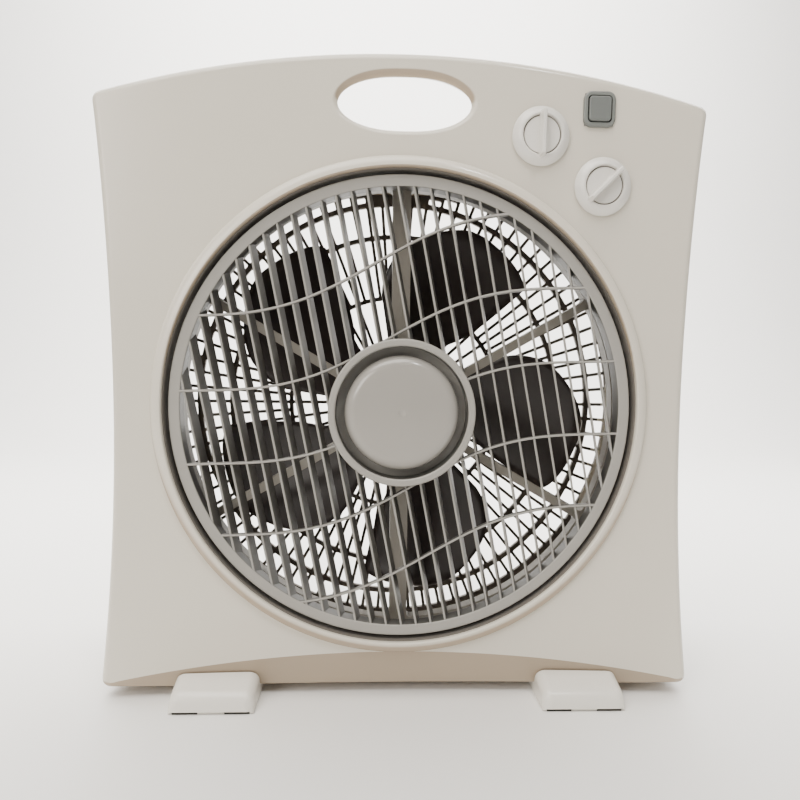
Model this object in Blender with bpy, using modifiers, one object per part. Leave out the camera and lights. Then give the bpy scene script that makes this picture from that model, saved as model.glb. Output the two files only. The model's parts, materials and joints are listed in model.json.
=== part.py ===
"""A 30 cm box fan with a turning louvre grille, in metres, +Z up, front towards -Y.

Every shape is drawn in the casing's own face frame: x to the right, "up" from the
floor and "out" towards a person in front, with out = 0 on the front panel. Empties
carry that frame into the scene, and each moving piece hangs on an empty on its axis.
"""

import math

import bmesh
import bpy
from mathutils import Matrix, Vector

# --- Fits ---------------------------------------------------------------------
GAP = 0.0003             # left between pieces that touch
RUNNING = 0.0006         # around a shaft that turns in a hole
REACH = 0.0006           # how far joined shapes reach into each other

# --- Casing -------------------------------------------------------------------
WAIST = 0.3788           # width where the sides come closest
WAIST_HEIGHT = 0.225
SIDE_RADIUS_UPPER = 2.02
SIDE_RADIUS_LOWER = 1.63
ARCH_RADIUS = 0.694
CORNER_ROUND = 0.007
FRONT_EDGE_ROUND = 0.005
REAR_EDGE_ROUND = 0.004
WALL = 0.0025
BODY_BOTTOM = 0.008      # casing's clearance above the floor
CHIN_HEIGHT = 0.0255     # from the casing's bottom to the fold below the louvre
CHIN_SETBACK = 0.008
CHIN_RADIUS = 0.907
HEAD_HEIGHT = 0.063      # from the louvre bezel to the crown of the arch

# --- Bezel and duct around the louvre -------------------------------------------
BEZEL_MARGIN = 0.0249    # panel between bezel and waist
BEZEL_WIDTH = 0.008
BEZEL_HEIGHT = 0.0055
LOUVER_GAP = 0.004       # dark groove round the louvre
DUCT_WALL = 0.0025

# --- Louvre grille --------------------------------------------------------------
LOUVER_RIM = 0.0075
LOUVER_DEPTH = 0.012
LOUVER_TURN = 11.0       # degrees anticlockwise at rest
HUB_RING_RADIUS = 0.0485
HUB_RING_WIDTH = 0.0048
HUB_RISE = 0.008
CAP_RADIUS = 0.038
SLAT_PITCH = 0.0202
SLAT_THICKNESS = 0.0016
SLAT_SLANT = 14.0        # degrees, rear edge to the right
BAR_COUNT = 5
BAR_SPACING = 0.0492
BAR_SWING = 0.0102
BAR_WAVE = 0.25
BAR_SLOPE = 0.09
BAR_WIDTH = 0.0018
BAR_DEPTH = 0.0035

# --- Louvre drive and inner guard -----------------------------------------------
DRIVE_CLEAR = 0.002
DRIVE_RADIUS = 0.025
DRIVE_DEPTH = 0.015
DRIVE_SHAFT = 0.0035
SPIDER_DEPTH = 0.010
SPIDER_HUB = 0.029
SPIDER_RING_WIDTH = 0.012
SPIDER_ARM = 0.006
SPIDER_DUCT_ARM = 0.0125
EAR_RADIUS = 0.006

# --- Fan blade ------------------------------------------------------------------
BLADE_COUNT = 5
BLADE_CLEAR = 0.010      # behind the inner guard
BLADE_DEPTH = 0.038
BLADE_TIP_INSET = 0.0115 # inside the louvre's radius
BLADE_HUB = 0.034
BLADE_WALL = 0.0018
BLADE_START = -9.0       # where the first blade's tip points, degrees
BLADE_TRAILING = 36.0    # from the tip's middle to the trailing edge near the hub, degrees
BLADE_LEADING = 20.0     # and to the leading edge
BLADE_PITCH = (38.0, 21.0)
TIP_ROUND = (0.030, 0.010)
NUT_RADIUS = 0.012
NUT_HEIGHT = 0.007

# --- Fan motor ------------------------------------------------------------------
MOTOR_CLEAR = 0.003
MOTOR_LENGTH = 0.042
MOTOR_RADIUS = 0.039
CAP_WALL = 0.0025
STACK = 0.014
SHAFT = 0.004
ROTOR_RADIUS = 0.0214
AIR_GAP = 0.0006
BEARING_RADIUS = 0.008
BEARING_LENGTH = 0.007

# --- Rear grille ----------------------------------------------------------------
REAR_PLATE = 0.004
REAR_MARGIN = 0.0074     # flat left between the slots and the waist
MOTOR_PLATE = 0.046
RING_RADII = (0.0885, 0.1385, 0.1655)
RING_WIDTHS = (0.003, 0.0035, 0.004)
RIB_COUNT = 20
RIB_WIDTH = 0.0026

# --- Handle ---------------------------------------------------------------------
HANDLE_WIDTH = 0.0856
HANDLE_HEIGHT = 0.0332
HANDLE_DROP = 0.0304     # from the crown to the hole's centre
HANDLE_FLARE = 0.0042
HANDLE_WALL = 0.0022
GRIP_DEPTH = 0.016       # front to back of the bar that the hand closes on
RECESS_SIDE = 0.022      # room beside the hole, behind the grip
RECESS_ROUND = 0.012
RECESS_CLEAR = 0.002     # between the recess's wall and the speed switch

# --- Controls -------------------------------------------------------------------
KNOB_RADIUS = 0.0185
KNOB_DISC = 0.0118
KNOB_SKIRT = 0.006
KNOB_GRIP = (0.029, 0.004, 0.0125)
KNOB_SHAFT = 0.003
SPEED_PLACE = (0.0336, 63.9)
TIMER_PLACE = (0.0311, 48.95)
BUTTON_PLACE = (0.067, 57.5)
TIMER_TURN = 45.0        # degrees clockwise at rest
SPEED_BODY = (0.030, 0.034, 0.019)
TIMER_BODY = (0.038, 0.042, 0.028)
BUTTON_FRAME = (0.0207, 0.022)
BUTTON_PAD = (0.0142, 0.0152)
BUTTON_BODY_DEPTH = 0.018
BUTTON_RISE = 0.003
BUTTON_TRAVEL = 0.0025

# --- Fasteners and small pieces ---------------------------------------------------
SCREW_SHANK = 0.0015
SCREW_HEAD = 0.003
HEAD_HEIGHT_OF_SCREW = 0.0018
BOSS = 0.0045
SHELL_SCREW_INSET = 0.017
SHELL_SPLIT = 0.066      # parting plane behind the panel
FOOT_WIDTH = 0.056
FOOT_PLACE = 0.124
FOOT_NOSE = 0.022
FOOT_RISE = 0.0196
FOOT_ROUND = 0.004
PAD_WIDTH = 0.0165
PAD_SPACING = 0.017
PAD_THICKNESS = 0.0018
GLAND_PLACE = (0.150, 0.052)
GLAND_RADIUS = 0.006
CAPACITOR = (0.038, 0.028, 0.018)
CAPACITOR_PLACE = (-0.155, 0.048)
LEAD_RADIUS = 0.0022

# --- Worked out from the driving sizes --------------------------------------------
BEZEL_OUTER = WAIST / 2 - BEZEL_MARGIN
BEZEL_INNER = BEZEL_OUTER - BEZEL_WIDTH
LOUVER_RADIUS = BEZEL_INNER - LOUVER_GAP
DUCT_OUTER = BEZEL_INNER + DUCT_WALL
AXIS_HEIGHT = BODY_BOTTOM + CHIN_HEIGHT + BEZEL_OUTER
TOP_HEIGHT = AXIS_HEIGHT + BEZEL_OUTER + HEAD_HEIGHT
BLADE_TIP = LOUVER_RADIUS - BLADE_TIP_INSET
REAR_SLOT_END = WAIST / 2 - REAR_MARGIN
DRIVE_FRONT = LOUVER_DEPTH + DRIVE_CLEAR
SPIDER_FRONT = DRIVE_FRONT + DRIVE_DEPTH + GAP
SPIDER_BACK = SPIDER_FRONT + SPIDER_DEPTH
BLADE_FRONT = SPIDER_BACK + BLADE_CLEAR
BLADE_BACK = BLADE_FRONT + BLADE_DEPTH
MOTOR_FRONT = BLADE_BACK + MOTOR_CLEAR
MOTOR_BACK = MOTOR_FRONT + MOTOR_LENGTH
REAR_INNER = MOTOR_BACK + GAP
DEPTH = REAR_INNER + REAR_PLATE
HANDLE_CENTRE = TOP_HEIGHT - HANDLE_DROP
RECESS_FLOOR = HANDLE_CENTRE - HANDLE_HEIGHT / 2 - HANDLE_FLARE - 0.0016
SPIDER_RING = DUCT_OUTER + 0.004
EAR_PLACE = SPIDER_RING + 0.005

for old in list(bpy.data.objects):
    bpy.data.objects.remove(old, do_unlink=True)

PARTS = bpy.data.collections.new("box_fan")
CUTTERS = bpy.data.collections.new("cutters")
bpy.context.scene.collection.children.link(PARTS)
bpy.context.scene.collection.children.link(CUTTERS)


# --- Materials --------------------------------------------------------------------
def plastic(name, colour, roughness=0.4, metallic=0.0):
    """A plain finish; each piece gets its own."""
    finish = bpy.data.materials.new(name)
    finish.use_nodes = True
    shader = finish.node_tree.nodes["Principled BSDF"]
    shader.inputs["Base Color"].default_value = (*colour, 1.0)
    shader.inputs["Roughness"].default_value = roughness
    shader.inputs["Metallic"].default_value = metallic
    return finish


IVORY = ((0.72, 0.70, 0.66), 0.35, 0.0)
LOUVER_GREY = ((0.50, 0.49, 0.46), 0.4, 0.0)
CAP_GREY = ((0.42, 0.41, 0.38), 0.3, 0.0)
BLADE_BROWN = ((0.030, 0.022, 0.022), 0.35, 0.0)
GUARD_BEIGE = ((0.45, 0.42, 0.37), 0.45, 0.0)
KNOB_WHITE = ((0.78, 0.77, 0.73), 0.25, 0.0)
BUTTON_GREY = ((0.30, 0.32, 0.31), 0.4, 0.0)
STEEL = ((0.55, 0.55, 0.56), 0.3, 1.0)
BRASS = ((0.60, 0.45, 0.20), 0.35, 1.0)
COPPER = ((0.55, 0.22, 0.10), 0.35, 1.0)
CAST = ((0.45, 0.46, 0.48), 0.5, 1.0)
RUBBER = ((0.035, 0.030, 0.028), 0.8, 0.0)
SWITCH_WHITE = ((0.65, 0.65, 0.62), 0.4, 0.0)
LEAD_GREY = ((0.25, 0.25, 0.25), 0.5, 0.0)


# --- Frames -----------------------------------------------------------------------
def axis_empty(name, parent, x, up, turn=0.0):
    """An empty on a joint's axis; turn is in degrees anticlockwise from the front."""
    empty = bpy.data.objects.new(name, None)
    PARTS.objects.link(empty)
    empty.parent = parent
    empty.location = (x, up, 0.0)
    empty.rotation_euler = (0.0, 0.0, math.radians(turn))
    return empty


def around_axis(place):
    """The point at a distance outside the bezel, at an angle about the fan's axis."""
    margin, angle = place
    radius = BEZEL_OUTER + margin
    angle = math.radians(angle)
    return Vector((radius * math.cos(angle), AXIS_HEIGHT + radius * math.sin(angle)))


FACE = axis_empty("casing_face", None, 0.0, 0.0)
FACE.location = (0.0, -DEPTH / 2, 0.0)
FACE.rotation_euler = (math.pi / 2, 0.0, 0.0)
FAN_AXIS = axis_empty("fan_axis", FACE, 0.0, AXIS_HEIGHT)
LOUVER_AXIS = axis_empty("louver_axis", FACE, 0.0, AXIS_HEIGHT, LOUVER_TURN)
SPEED = around_axis(SPEED_PLACE)
TIMER = around_axis(TIMER_PLACE)
BUTTON = around_axis(BUTTON_PLACE)
SPEED_AXIS = axis_empty("speed_axis", FACE, *SPEED)
TIMER_AXIS = axis_empty("timer_axis", FACE, *TIMER, -TIMER_TURN)
BUTTON_AXIS = axis_empty("button_axis", FACE, *BUTTON)


# --- Building tools -----------------------------------------------------------------
def add_part(name, mesh, parent, finish, smooth=35.0):
    """A finished piece, shaded smooth except across sharp edges."""
    mesh.shade_smooth()
    mesh.set_sharp_from_angle(angle=math.radians(smooth))
    piece = bpy.data.objects.new(name, mesh)
    PARTS.objects.link(piece)
    piece.parent = parent
    mesh.materials.clear()
    mesh.materials.append(plastic(name, *finish))
    return piece


def add_tool(name, mesh, parent):
    """A helper shape that a Boolean reads; it isn't rendered."""
    helper = bpy.data.objects.new(name, mesh)
    CUTTERS.objects.link(helper)
    helper.parent = parent
    helper.hide_render = True
    helper.display_type = "WIRE"
    return helper


def combine(piece, helper, operation):
    boolean = piece.modifiers.new(helper.name, "BOOLEAN")
    boolean.operation = operation
    boolean.object = helper
    boolean.solver = "EXACT"


def cut(piece, helper):
    combine(piece, helper, "DIFFERENCE")


def join(piece, helper):
    combine(piece, helper, "UNION")


def from_bmesh(name, bm):
    bmesh.ops.recalc_face_normals(bm, faces=bm.faces)
    mesh = bpy.data.meshes.new(name)
    bm.to_mesh(mesh)
    bm.free()
    return mesh


def plate(name, outlines, back, front):
    """A flat piece from closed outlines, filled between two heights; inner ones are holes."""
    curve = bpy.data.curves.new(name, "CURVE")
    curve.dimensions = "2D"
    curve.fill_mode = "BOTH"
    curve.extrude = (front - back) / 2
    for outline in outlines:
        spline = curve.splines.new("POLY")
        spline.points.add(len(outline) - 1)
        for point, (x, up) in zip(spline.points, outline):
            point.co = (x, up, 0.0, 1.0)
        spline.use_cyclic_u = True
    helper = bpy.data.objects.new(name, curve)
    CUTTERS.objects.link(helper)
    graph = bpy.context.evaluated_depsgraph_get()
    mesh = bpy.data.meshes.new_from_object(helper.evaluated_get(graph))
    bpy.data.objects.remove(helper)
    bpy.data.curves.remove(curve)
    bm = bmesh.new()
    bm.from_mesh(mesh)
    bmesh.ops.remove_doubles(bm, verts=bm.verts, dist=1e-6)
    if len(outlines) == 1:
        bmesh.ops.dissolve_limit(bm, angle_limit=0.001, verts=bm.verts, edges=bm.edges)
    bmesh.ops.translate(bm, verts=bm.verts, vec=(0.0, 0.0, (front + back) / 2))
    bmesh.ops.recalc_face_normals(bm, faces=bm.faces)
    bm.to_mesh(mesh)
    bm.free()
    return mesh


def round_rim(mesh, height, radius, segments):
    """Rounds the sharp edges that lie at one height."""
    bm = bmesh.new()
    bm.from_mesh(mesh)
    rim = []
    for edge in bm.edges:
        level = all(abs(vert.co.z - height) < 1e-6 for vert in edge.verts)
        if level and edge.calc_face_angle(0.0) > 0.7:
            rim.append(edge)
    bmesh.ops.bevel(
        bm, geom=rim, offset=radius, offset_type="OFFSET", segments=segments, profile=0.5, affect="EDGES"
    )
    bm.to_mesh(mesh)
    bm.free()
    return mesh


def turned(name, profile, steps, closed=False):
    """A round piece: points (radius, out) down the outer side, turned about the axis."""
    bm = bmesh.new()
    verts = [bm.verts.new((radius, 0.0, out)) for radius, out in profile]
    for first, second in zip(verts, verts[1:]):
        bm.edges.new((first, second))
    if closed:
        bm.edges.new((verts[-1], verts[0]))
    mesh = bpy.data.meshes.new(name)
    bm.to_mesh(mesh)
    bm.free()
    helper = bpy.data.objects.new(name, mesh)
    CUTTERS.objects.link(helper)
    screw = helper.modifiers.new("turn", "SCREW")
    screw.steps = steps
    screw.render_steps = steps
    screw.use_merge_vertices = True
    screw.merge_threshold = 1e-5
    graph = bpy.context.evaluated_depsgraph_get()
    result = bpy.data.meshes.new_from_object(helper.evaluated_get(graph))
    bpy.data.objects.remove(helper)
    bpy.data.meshes.remove(mesh)
    return result


def block(bm, size, centre, matrix=None):
    """A box in the face frame, added to a bmesh."""
    made = bmesh.ops.create_cube(bm, size=1.0)["verts"]
    bmesh.ops.scale(bm, verts=made, vec=size)
    if matrix:
        bmesh.ops.transform(bm, verts=made, matrix=matrix)
    bmesh.ops.translate(bm, verts=made, vec=centre)
    return made


def post(bm, radius, x, up, back, front, segments=12):
    """A round bar along the out direction, added to a bmesh."""
    place = Matrix.Translation((x, up, (front + back) / 2))
    bmesh.ops.create_cone(
        bm, cap_ends=True, segments=segments, radius1=radius, radius2=radius, depth=front - back, matrix=place
    )


def posts(name, parent, places, radius, back, front, segments=12):
    bm = bmesh.new()
    for x, up in places:
        post(bm, radius, x, up, back, front, segments)
    return add_tool(name, from_bmesh(name, bm), parent)


def circle(radius, count, centre=(0.0, 0.0)):
    steps = [2 * math.pi * k / count for k in range(count)]
    return [(centre[0] + radius * math.cos(a), centre[1] + radius * math.sin(a)) for a in steps]


def polar(radius, degrees, height=0.0):
    angle = math.radians(degrees)
    return (radius * math.cos(angle), height + radius * math.sin(angle))


def sector(inner, outer, start, end, half_start, half_end, count):
    """A window between two spokes: angles in degrees, half widths in metres."""
    def bounds(radius):
        low = math.radians(start) + math.asin(half_start / radius)
        high = math.radians(end) - math.asin(half_end / radius)
        return low, high
    low, high = bounds(outer)
    points = [(outer, low + (high - low) * k / count) for k in range(count + 1)]
    low, high = bounds(inner)
    points += [(inner, high + (low - high) * k / count) for k in range(count + 1)]
    return [(radius * math.cos(a), radius * math.sin(a)) for radius, a in points]


# --- Casing outline -------------------------------------------------------------------
def half_width(up):
    radius = SIDE_RADIUS_UPPER if up > WAIST_HEIGHT else SIDE_RADIUS_LOWER
    return WAIST / 2 + (up - WAIST_HEIGHT) ** 2 / (2 * radius)


def arch_height(x):
    return TOP_HEIGHT - ARCH_RADIUS + math.sqrt(ARCH_RADIUS**2 - x**2)


def inset(points, distance):
    """Moves a closed anticlockwise outline inwards."""
    moved = []
    for k, here in enumerate(points):
        before = (Vector(here) - Vector(points[k - 1])).normalized()
        after = (Vector(points[(k + 1) % len(points)]) - Vector(here)).normalized()
        along = (before + after).normalized()
        inward = Vector((-along.y, along.x))
        moved.append(Vector(here) + inward * distance / along.dot(after))
    return moved


def rounded(points, radius, count=4):
    """Replaces each sharp corner of an outline by an arc."""
    result = []
    for k, here in enumerate(points):
        before = (Vector(here) - Vector(points[k - 1])).normalized()
        after = (Vector(points[(k + 1) % len(points)]) - Vector(here)).normalized()
        turn = before.angle_signed(after)
        if abs(turn) < math.radians(25):
            result.append(Vector(here))
            continue
        reach = radius * math.tan(abs(turn) / 2)
        start = Vector(here) - before * reach
        end = Vector(here) + after * reach
        for step in range(count + 1):
            share = step / count
            near = start.lerp(Vector(here), share)
            far = Vector(here).lerp(end, share)
            result.append(near.lerp(far, share))
    return result


def casing_outline(inward=0.0):
    """The casing seen from the front, moved inwards by a distance."""
    corner = half_width(arch_height(WAIST / 2))
    top = arch_height(corner)
    side_steps = 9
    arch_steps = 16
    right = []
    for k in range(side_steps):
        up = BODY_BOTTOM + (top - BODY_BOTTOM) * k / side_steps
        right.append((half_width(up), up))
    arch = [corner - 2 * corner * k / arch_steps for k in range(arch_steps + 1)]
    points = right + [(x, arch_height(x)) for x in arch]
    points += [(-x, up) for x, up in reversed(right)]
    return rounded(inset(points, inward), max(CORNER_ROUND - inward, 0.001))


def chin_wedge(name, shift):
    """The space in front of the sloping chin; shift moves it towards the viewer."""
    slope = CHIN_HEIGHT / CHIN_SETBACK
    fold_crown = BODY_BOTTOM + CHIN_HEIGHT
    reach = WAIST * 0.75
    bm = bmesh.new()
    rows = []
    for out in (0.02, -0.03):
        row = []
        steps = 20
        for k in range(steps + 1):
            x = -reach + 2 * reach * k / steps
            fold = fold_crown - x * x / (2 * CHIN_RADIUS)
            row.append(bm.verts.new((x, fold + out * slope, out + shift)))
        row.append(bm.verts.new((reach, BODY_BOTTOM - 0.15, out + shift)))
        row.append(bm.verts.new((-reach, BODY_BOTTOM - 0.15, out + shift)))
        rows.append(row)
    front, back = rows
    count = len(front)
    for k in range(count):
        after = (k + 1) % count
        bm.faces.new((front[k], front[after], back[after], back[k]))
    bm.faces.new(front)
    bm.faces.new(list(reversed(back)))
    return add_tool(name, from_bmesh(name, bm), FACE)


def handle_outline(extra):
    """A lens with blunt ends, grown by a distance."""
    half_x = HANDLE_WIDTH / 2 + extra
    half_up = HANDLE_HEIGHT / 2 + extra
    count = 24
    points = []
    for k in range(count):
        angle = 2 * math.pi * k / count
        across = math.copysign(abs(math.cos(angle)) ** 0.8, math.cos(angle))
        rise = math.copysign(abs(math.sin(angle)) ** 1.1, math.sin(angle))
        points.append((half_x * across, HANDLE_CENTRE + half_up * rise))
    return points


def handle_bore():
    """The finger hole's cutter, flared to a smooth rim at both faces of the grip."""
    levels = [(HANDLE_FLARE * 1.25, -0.01), (HANDLE_FLARE * 1.25, -HANDLE_FLARE * 0.067)]
    for step in (1, 2, 3):
        turn = math.pi / 2 * step / 3
        levels.append((HANDLE_FLARE * (1 - math.sin(turn)), HANDLE_FLARE * (1 - math.cos(turn))))
    sections = [(grow, -down) for grow, down in levels]
    sections += [(grow, -GRIP_DEPTH + down) for grow, down in reversed(levels)]
    bm = bmesh.new()
    rings = []
    for grow, out in sections:
        rings.append([bm.verts.new((x, up, out)) for x, up in handle_outline(grow)])
    for upper, lower in zip(rings, rings[1:]):
        for k in range(len(upper)):
            after = (k + 1) % len(upper)
            bm.faces.new((upper[k], upper[after], lower[after], lower[k]))
    bm.faces.new(rings[0])
    bm.faces.new(list(reversed(rings[-1])))
    return add_tool("handle_bore", from_bmesh("handle_bore", bm), FACE)


def hand_recess(name, extra):
    """The room behind the grip for a hand, open at the top and the rear; extra grows it."""
    beside_switch = SPEED.x - SPEED_BODY[0] / 2 - WALL - RECESS_CLEAR
    half = min(HANDLE_WIDTH / 2 + RECESS_SIDE, beside_switch) + extra
    radius = RECESS_ROUND + extra
    floor = RECESS_FLOOR - extra
    points = [(half, TOP_HEIGHT + 0.05), (-half, TOP_HEIGHT + 0.05)]
    for side in (-1, 1):
        for step in range(5):
            turn = math.pi / 2 * (step if side < 0 else 4 - step) / 4
            x = side * (half - radius + radius * math.cos(turn))
            points.append((x, floor + radius - radius * math.sin(turn)))
    body = plate(name, [points], -DEPTH - 0.01, -GRIP_DEPTH + extra)
    return add_tool(name, body, FACE)


# --- Where fasteners go -----------------------------------------------------------------
def shell_screw_places():
    low = BODY_BOTTOM + SHELL_SCREW_INSET
    high = arch_height(WAIST / 2) - SHELL_SCREW_INSET
    places = []
    for up in (low, high):
        x = half_width(up) - SHELL_SCREW_INSET
        places += [(-x, up), (x, up)]
    return places


SHELL_SCREWS = shell_screw_places()
SPIDER_SCREWS = [polar(EAR_PLACE, degrees, AXIS_HEIGHT) for degrees in (30, 150, 210, 330)]
MOTOR_SCREW_RADIUS = MOTOR_RADIUS - 0.008
MOTOR_SCREWS = [polar(MOTOR_SCREW_RADIUS, degrees, AXIS_HEIGHT) for degrees in (90, 210, 330)]
DRIVE_SCREWS = [polar(DRIVE_RADIUS - 0.004, degrees, AXIS_HEIGHT) for degrees in (0, 180)]
SPEED_SCREWS = [(SPEED.x, SPEED.y + side * 0.0095) for side in (-1, 1)]
TIMER_SCREWS = [(TIMER.x, TIMER.y + side * 0.0095) for side in (-1, 1)]
FOOT_SCREW_DEPTHS = (SHELL_SPLIT / 2, (SHELL_SPLIT + DEPTH) / 2)
FOOT_BOSS_HEIGHT = 0.010


def upright_posts(name, outs, radius, low, high):
    """Round bars standing up over the feet, at distances behind the panel."""
    bm = bmesh.new()
    for side in (-1, 1):
        for depth in outs:
            turn = Matrix.Rotation(-math.pi / 2, 4, "X")
            place = Matrix.Translation((side * FOOT_PLACE, (low + high) / 2, -depth)) @ turn
            bmesh.ops.create_cone(
                bm, cap_ends=True, segments=12, radius1=radius, radius2=radius, depth=high - low, matrix=place
            )
    return add_tool(name, from_bmesh(name, bm), FACE)


# --- Front shell --------------------------------------------------------------------------
def make_front_shell():
    body = plate("front_shell", [casing_outline()], -SHELL_SPLIT, 0.0)
    round_rim(body, 0.0, FRONT_EDGE_ROUND, 3)
    shell = add_part("front_shell", body, FACE, IVORY)

    hollow = plate("front_hollow", [casing_outline(WALL)], -SHELL_SPLIT - 0.01, -WALL)
    round_rim(hollow, -WALL, FRONT_EDGE_ROUND - WALL, 2)
    hollow = add_tool("front_hollow", hollow, FACE)
    slope_length = math.hypot(CHIN_HEIGHT, CHIN_SETBACK)
    cut(hollow, chin_wedge("chin_inside", -WALL * slope_length / CHIN_HEIGHT))
    cut(hollow, hand_recess("recess_wall_front", WALL))
    sleeve = plate("handle_sleeve", [handle_outline(HANDLE_WALL)], -GRIP_DEPTH - 0.01, 0.01)
    cut(hollow, add_tool("handle_sleeve", sleeve, FACE))
    cut(shell, hollow)
    cut(shell, chin_wedge("chin_outside", 0.0))

    opening = plate("louver_opening", [circle(BEZEL_INNER + DUCT_WALL / 2, 60)], -0.01, 0.01)
    opening = add_tool("louver_opening", opening, FAN_AXIS)
    cut(shell, opening)
    crest = BEZEL_INNER + BEZEL_WIDTH * 0.3
    lip = [(crest - 0.0012, BEZEL_HEIGHT - 0.0006)]
    for k in range(4):
        turn = math.pi / 2 * k / 3
        lip.append((crest + (BEZEL_OUTER - crest) * math.sin(turn), BEZEL_HEIGHT * math.cos(turn)))
    lip += [(BEZEL_OUTER, -WALL / 2), (DUCT_OUTER, -WALL / 2), (DUCT_OUTER, -SPIDER_FRONT + GAP)]
    lip += [(BEZEL_INNER, -SPIDER_FRONT + GAP), (BEZEL_INNER, BEZEL_HEIGHT - 0.002)]
    join(shell, add_tool("bezel", turned("bezel", lip, 60, closed=True), FAN_AXIS))

    cut(shell, hand_recess("recess_front", 0.0))
    cut(shell, handle_bore())

    join(shell, posts("shell_bosses_front", FACE, SHELL_SCREWS, BOSS, -SHELL_SPLIT, -WALL / 2))
    ear_bosses = posts("ear_bosses", FACE, SPIDER_SCREWS, BOSS - 0.001, -SPIDER_FRONT + GAP, -WALL / 2)
    join(shell, ear_bosses)
    foot_low = BODY_BOTTOM + WALL / 2
    foot_high = BODY_BOTTOM + FOOT_BOSS_HEIGHT
    join(shell, upright_posts("foot_boss_front", FOOT_SCREW_DEPTHS[:1], BOSS - 0.001, foot_low, foot_high))

    hole = SCREW_SHANK + GAP
    cut(shell, posts("shell_holes_front", FACE, SHELL_SCREWS, hole, -SHELL_SPLIT - 0.01, -SHELL_SPLIT + 0.014))
    ear_depth = -SPIDER_FRONT + 0.012
    cut(shell, posts("ear_holes", FACE, SPIDER_SCREWS, hole, -SPIDER_FRONT - 0.01, ear_depth))
    screw_top = BODY_BOTTOM + FOOT_BOSS_HEIGHT - 0.0015
    cut(shell, upright_posts("foot_hole_front", FOOT_SCREW_DEPTHS[:1], hole, -0.01, screw_top))

    knob_hole = KNOB_SHAFT + RUNNING
    cut(shell, posts("knob_holes", FACE, [SPEED, TIMER], knob_hole, -0.01, 0.01, 16))
    cut(shell, posts("knob_screw_holes", FACE, SPEED_SCREWS + TIMER_SCREWS, hole, -0.01, 0.01))
    width, height = BUTTON_FRAME
    bm = bmesh.new()
    block(bm, (width - 0.002, height - 0.002, 0.03), (0.0, 0.0, 0.0))
    cut(shell, add_tool("button_opening", from_bmesh("button_opening", bm), BUTTON_AXIS))
    return shell


# --- Rear shell with its grille ---------------------------------------------------------------
def grille_slots():
    """The slots between ribs and rings; those below the handle stop short of its recess."""
    edges = [MOTOR_PLATE]
    for radius, width in zip(RING_RADII, RING_WIDTHS):
        edges += [radius - width / 2, radius + width / 2]
    edges.append(REAR_SLOT_END)
    highest = RECESS_FLOOR - WALL - AXIS_HEIGHT - 0.002
    slots = []
    step = 360.0 / RIB_COUNT
    for inner, outer in zip(edges[::2], edges[1::2]):
        for k in range(RIB_COUNT):
            start = k * step
            lean = math.radians(min(abs(start - 90), abs(start + step - 90)))
            end = min(outer, highest / math.cos(lean)) if lean < 0.6 else outer
            if end - inner < 0.004:
                continue
            points = sector(inner, end, start, start + step, RIB_WIDTH / 2, RIB_WIDTH / 2, 1)
            slots.append([(x, up + AXIS_HEIGHT) for x, up in points])
    return slots


def make_rear_shell():
    front = -SHELL_SPLIT - GAP
    body = plate("rear_shell", [casing_outline()], -DEPTH, front)
    round_rim(body, -DEPTH, REAR_EDGE_ROUND, 2)
    shell = add_part("rear_shell", body, FACE, IVORY)

    hollow = plate("rear_hollow", [casing_outline(WALL)], -REAR_INNER, front + 0.01)
    round_rim(hollow, -REAR_INNER, 0.002, 1)
    hollow = add_tool("rear_hollow", hollow, FACE)
    cut(hollow, hand_recess("recess_wall_rear", WALL))
    cut(shell, hollow)

    bm = bmesh.new()
    for outline in grille_slots():
        ring = [bm.verts.new((x, up, -REAR_INNER + 0.004)) for x, up in outline]
        face = bm.faces.new(ring)
        grown = bmesh.ops.extrude_face_region(bm, geom=[face])["geom"]
        lower = [item for item in grown if isinstance(item, bmesh.types.BMVert)]
        bmesh.ops.translate(bm, verts=lower, vec=(0.0, 0.0, -0.008 - REAR_PLATE))
    cut(shell, add_tool("rear_slots", from_bmesh("rear_slots", bm), FACE))

    cut(shell, hand_recess("recess_rear", 0.0))
    join(shell, posts("shell_bosses_rear", FACE, SHELL_SCREWS, BOSS, -REAR_INNER - REAR_PLATE / 2, front))
    foot_low = BODY_BOTTOM + WALL / 2
    foot_high = BODY_BOTTOM + FOOT_BOSS_HEIGHT
    join(shell, upright_posts("foot_boss_rear", FOOT_SCREW_DEPTHS[1:], BOSS - 0.001, foot_low, foot_high))

    hole = SCREW_SHANK + GAP
    cut(shell, posts("shell_holes_rear", FACE, SHELL_SCREWS, hole, -DEPTH - 0.01, 0.0))
    sink = SCREW_HEAD + GAP
    seat = -SHELL_SPLIT - SHELL_SCREW_SEAT
    cut(shell, posts("shell_sinks", FACE, SHELL_SCREWS, sink, -DEPTH - 0.01, seat))
    cut(shell, posts("motor_screw_holes", FACE, MOTOR_SCREWS, hole, -DEPTH - 0.01, 0.0))
    screw_top = BODY_BOTTOM + FOOT_BOSS_HEIGHT - 0.0015
    cut(shell, upright_posts("foot_hole_rear", FOOT_SCREW_DEPTHS[1:], hole, -0.01, screw_top))
    cut(shell, posts("gland_hole", FACE, [GLAND_PLACE], GLAND_RADIUS + GAP, -DEPTH - 0.01, 0.0, 16))
    return shell


# --- Louvre grille -----------------------------------------------------------------------------
def wave(x):
    return BAR_SLOPE * x + BAR_SWING * math.sin(2 * math.pi * x / BAR_WAVE)


def rim_crossing(offset, side, radius):
    """Where a wavy bar meets a circle round the axis, found by halving."""
    near, far = (0.0, side * radius)
    for _ in range(40):
        middle = (near + far) / 2
        if math.hypot(middle, offset + wave(middle)) < radius:
            near = middle
        else:
            far = middle
    return near


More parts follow.
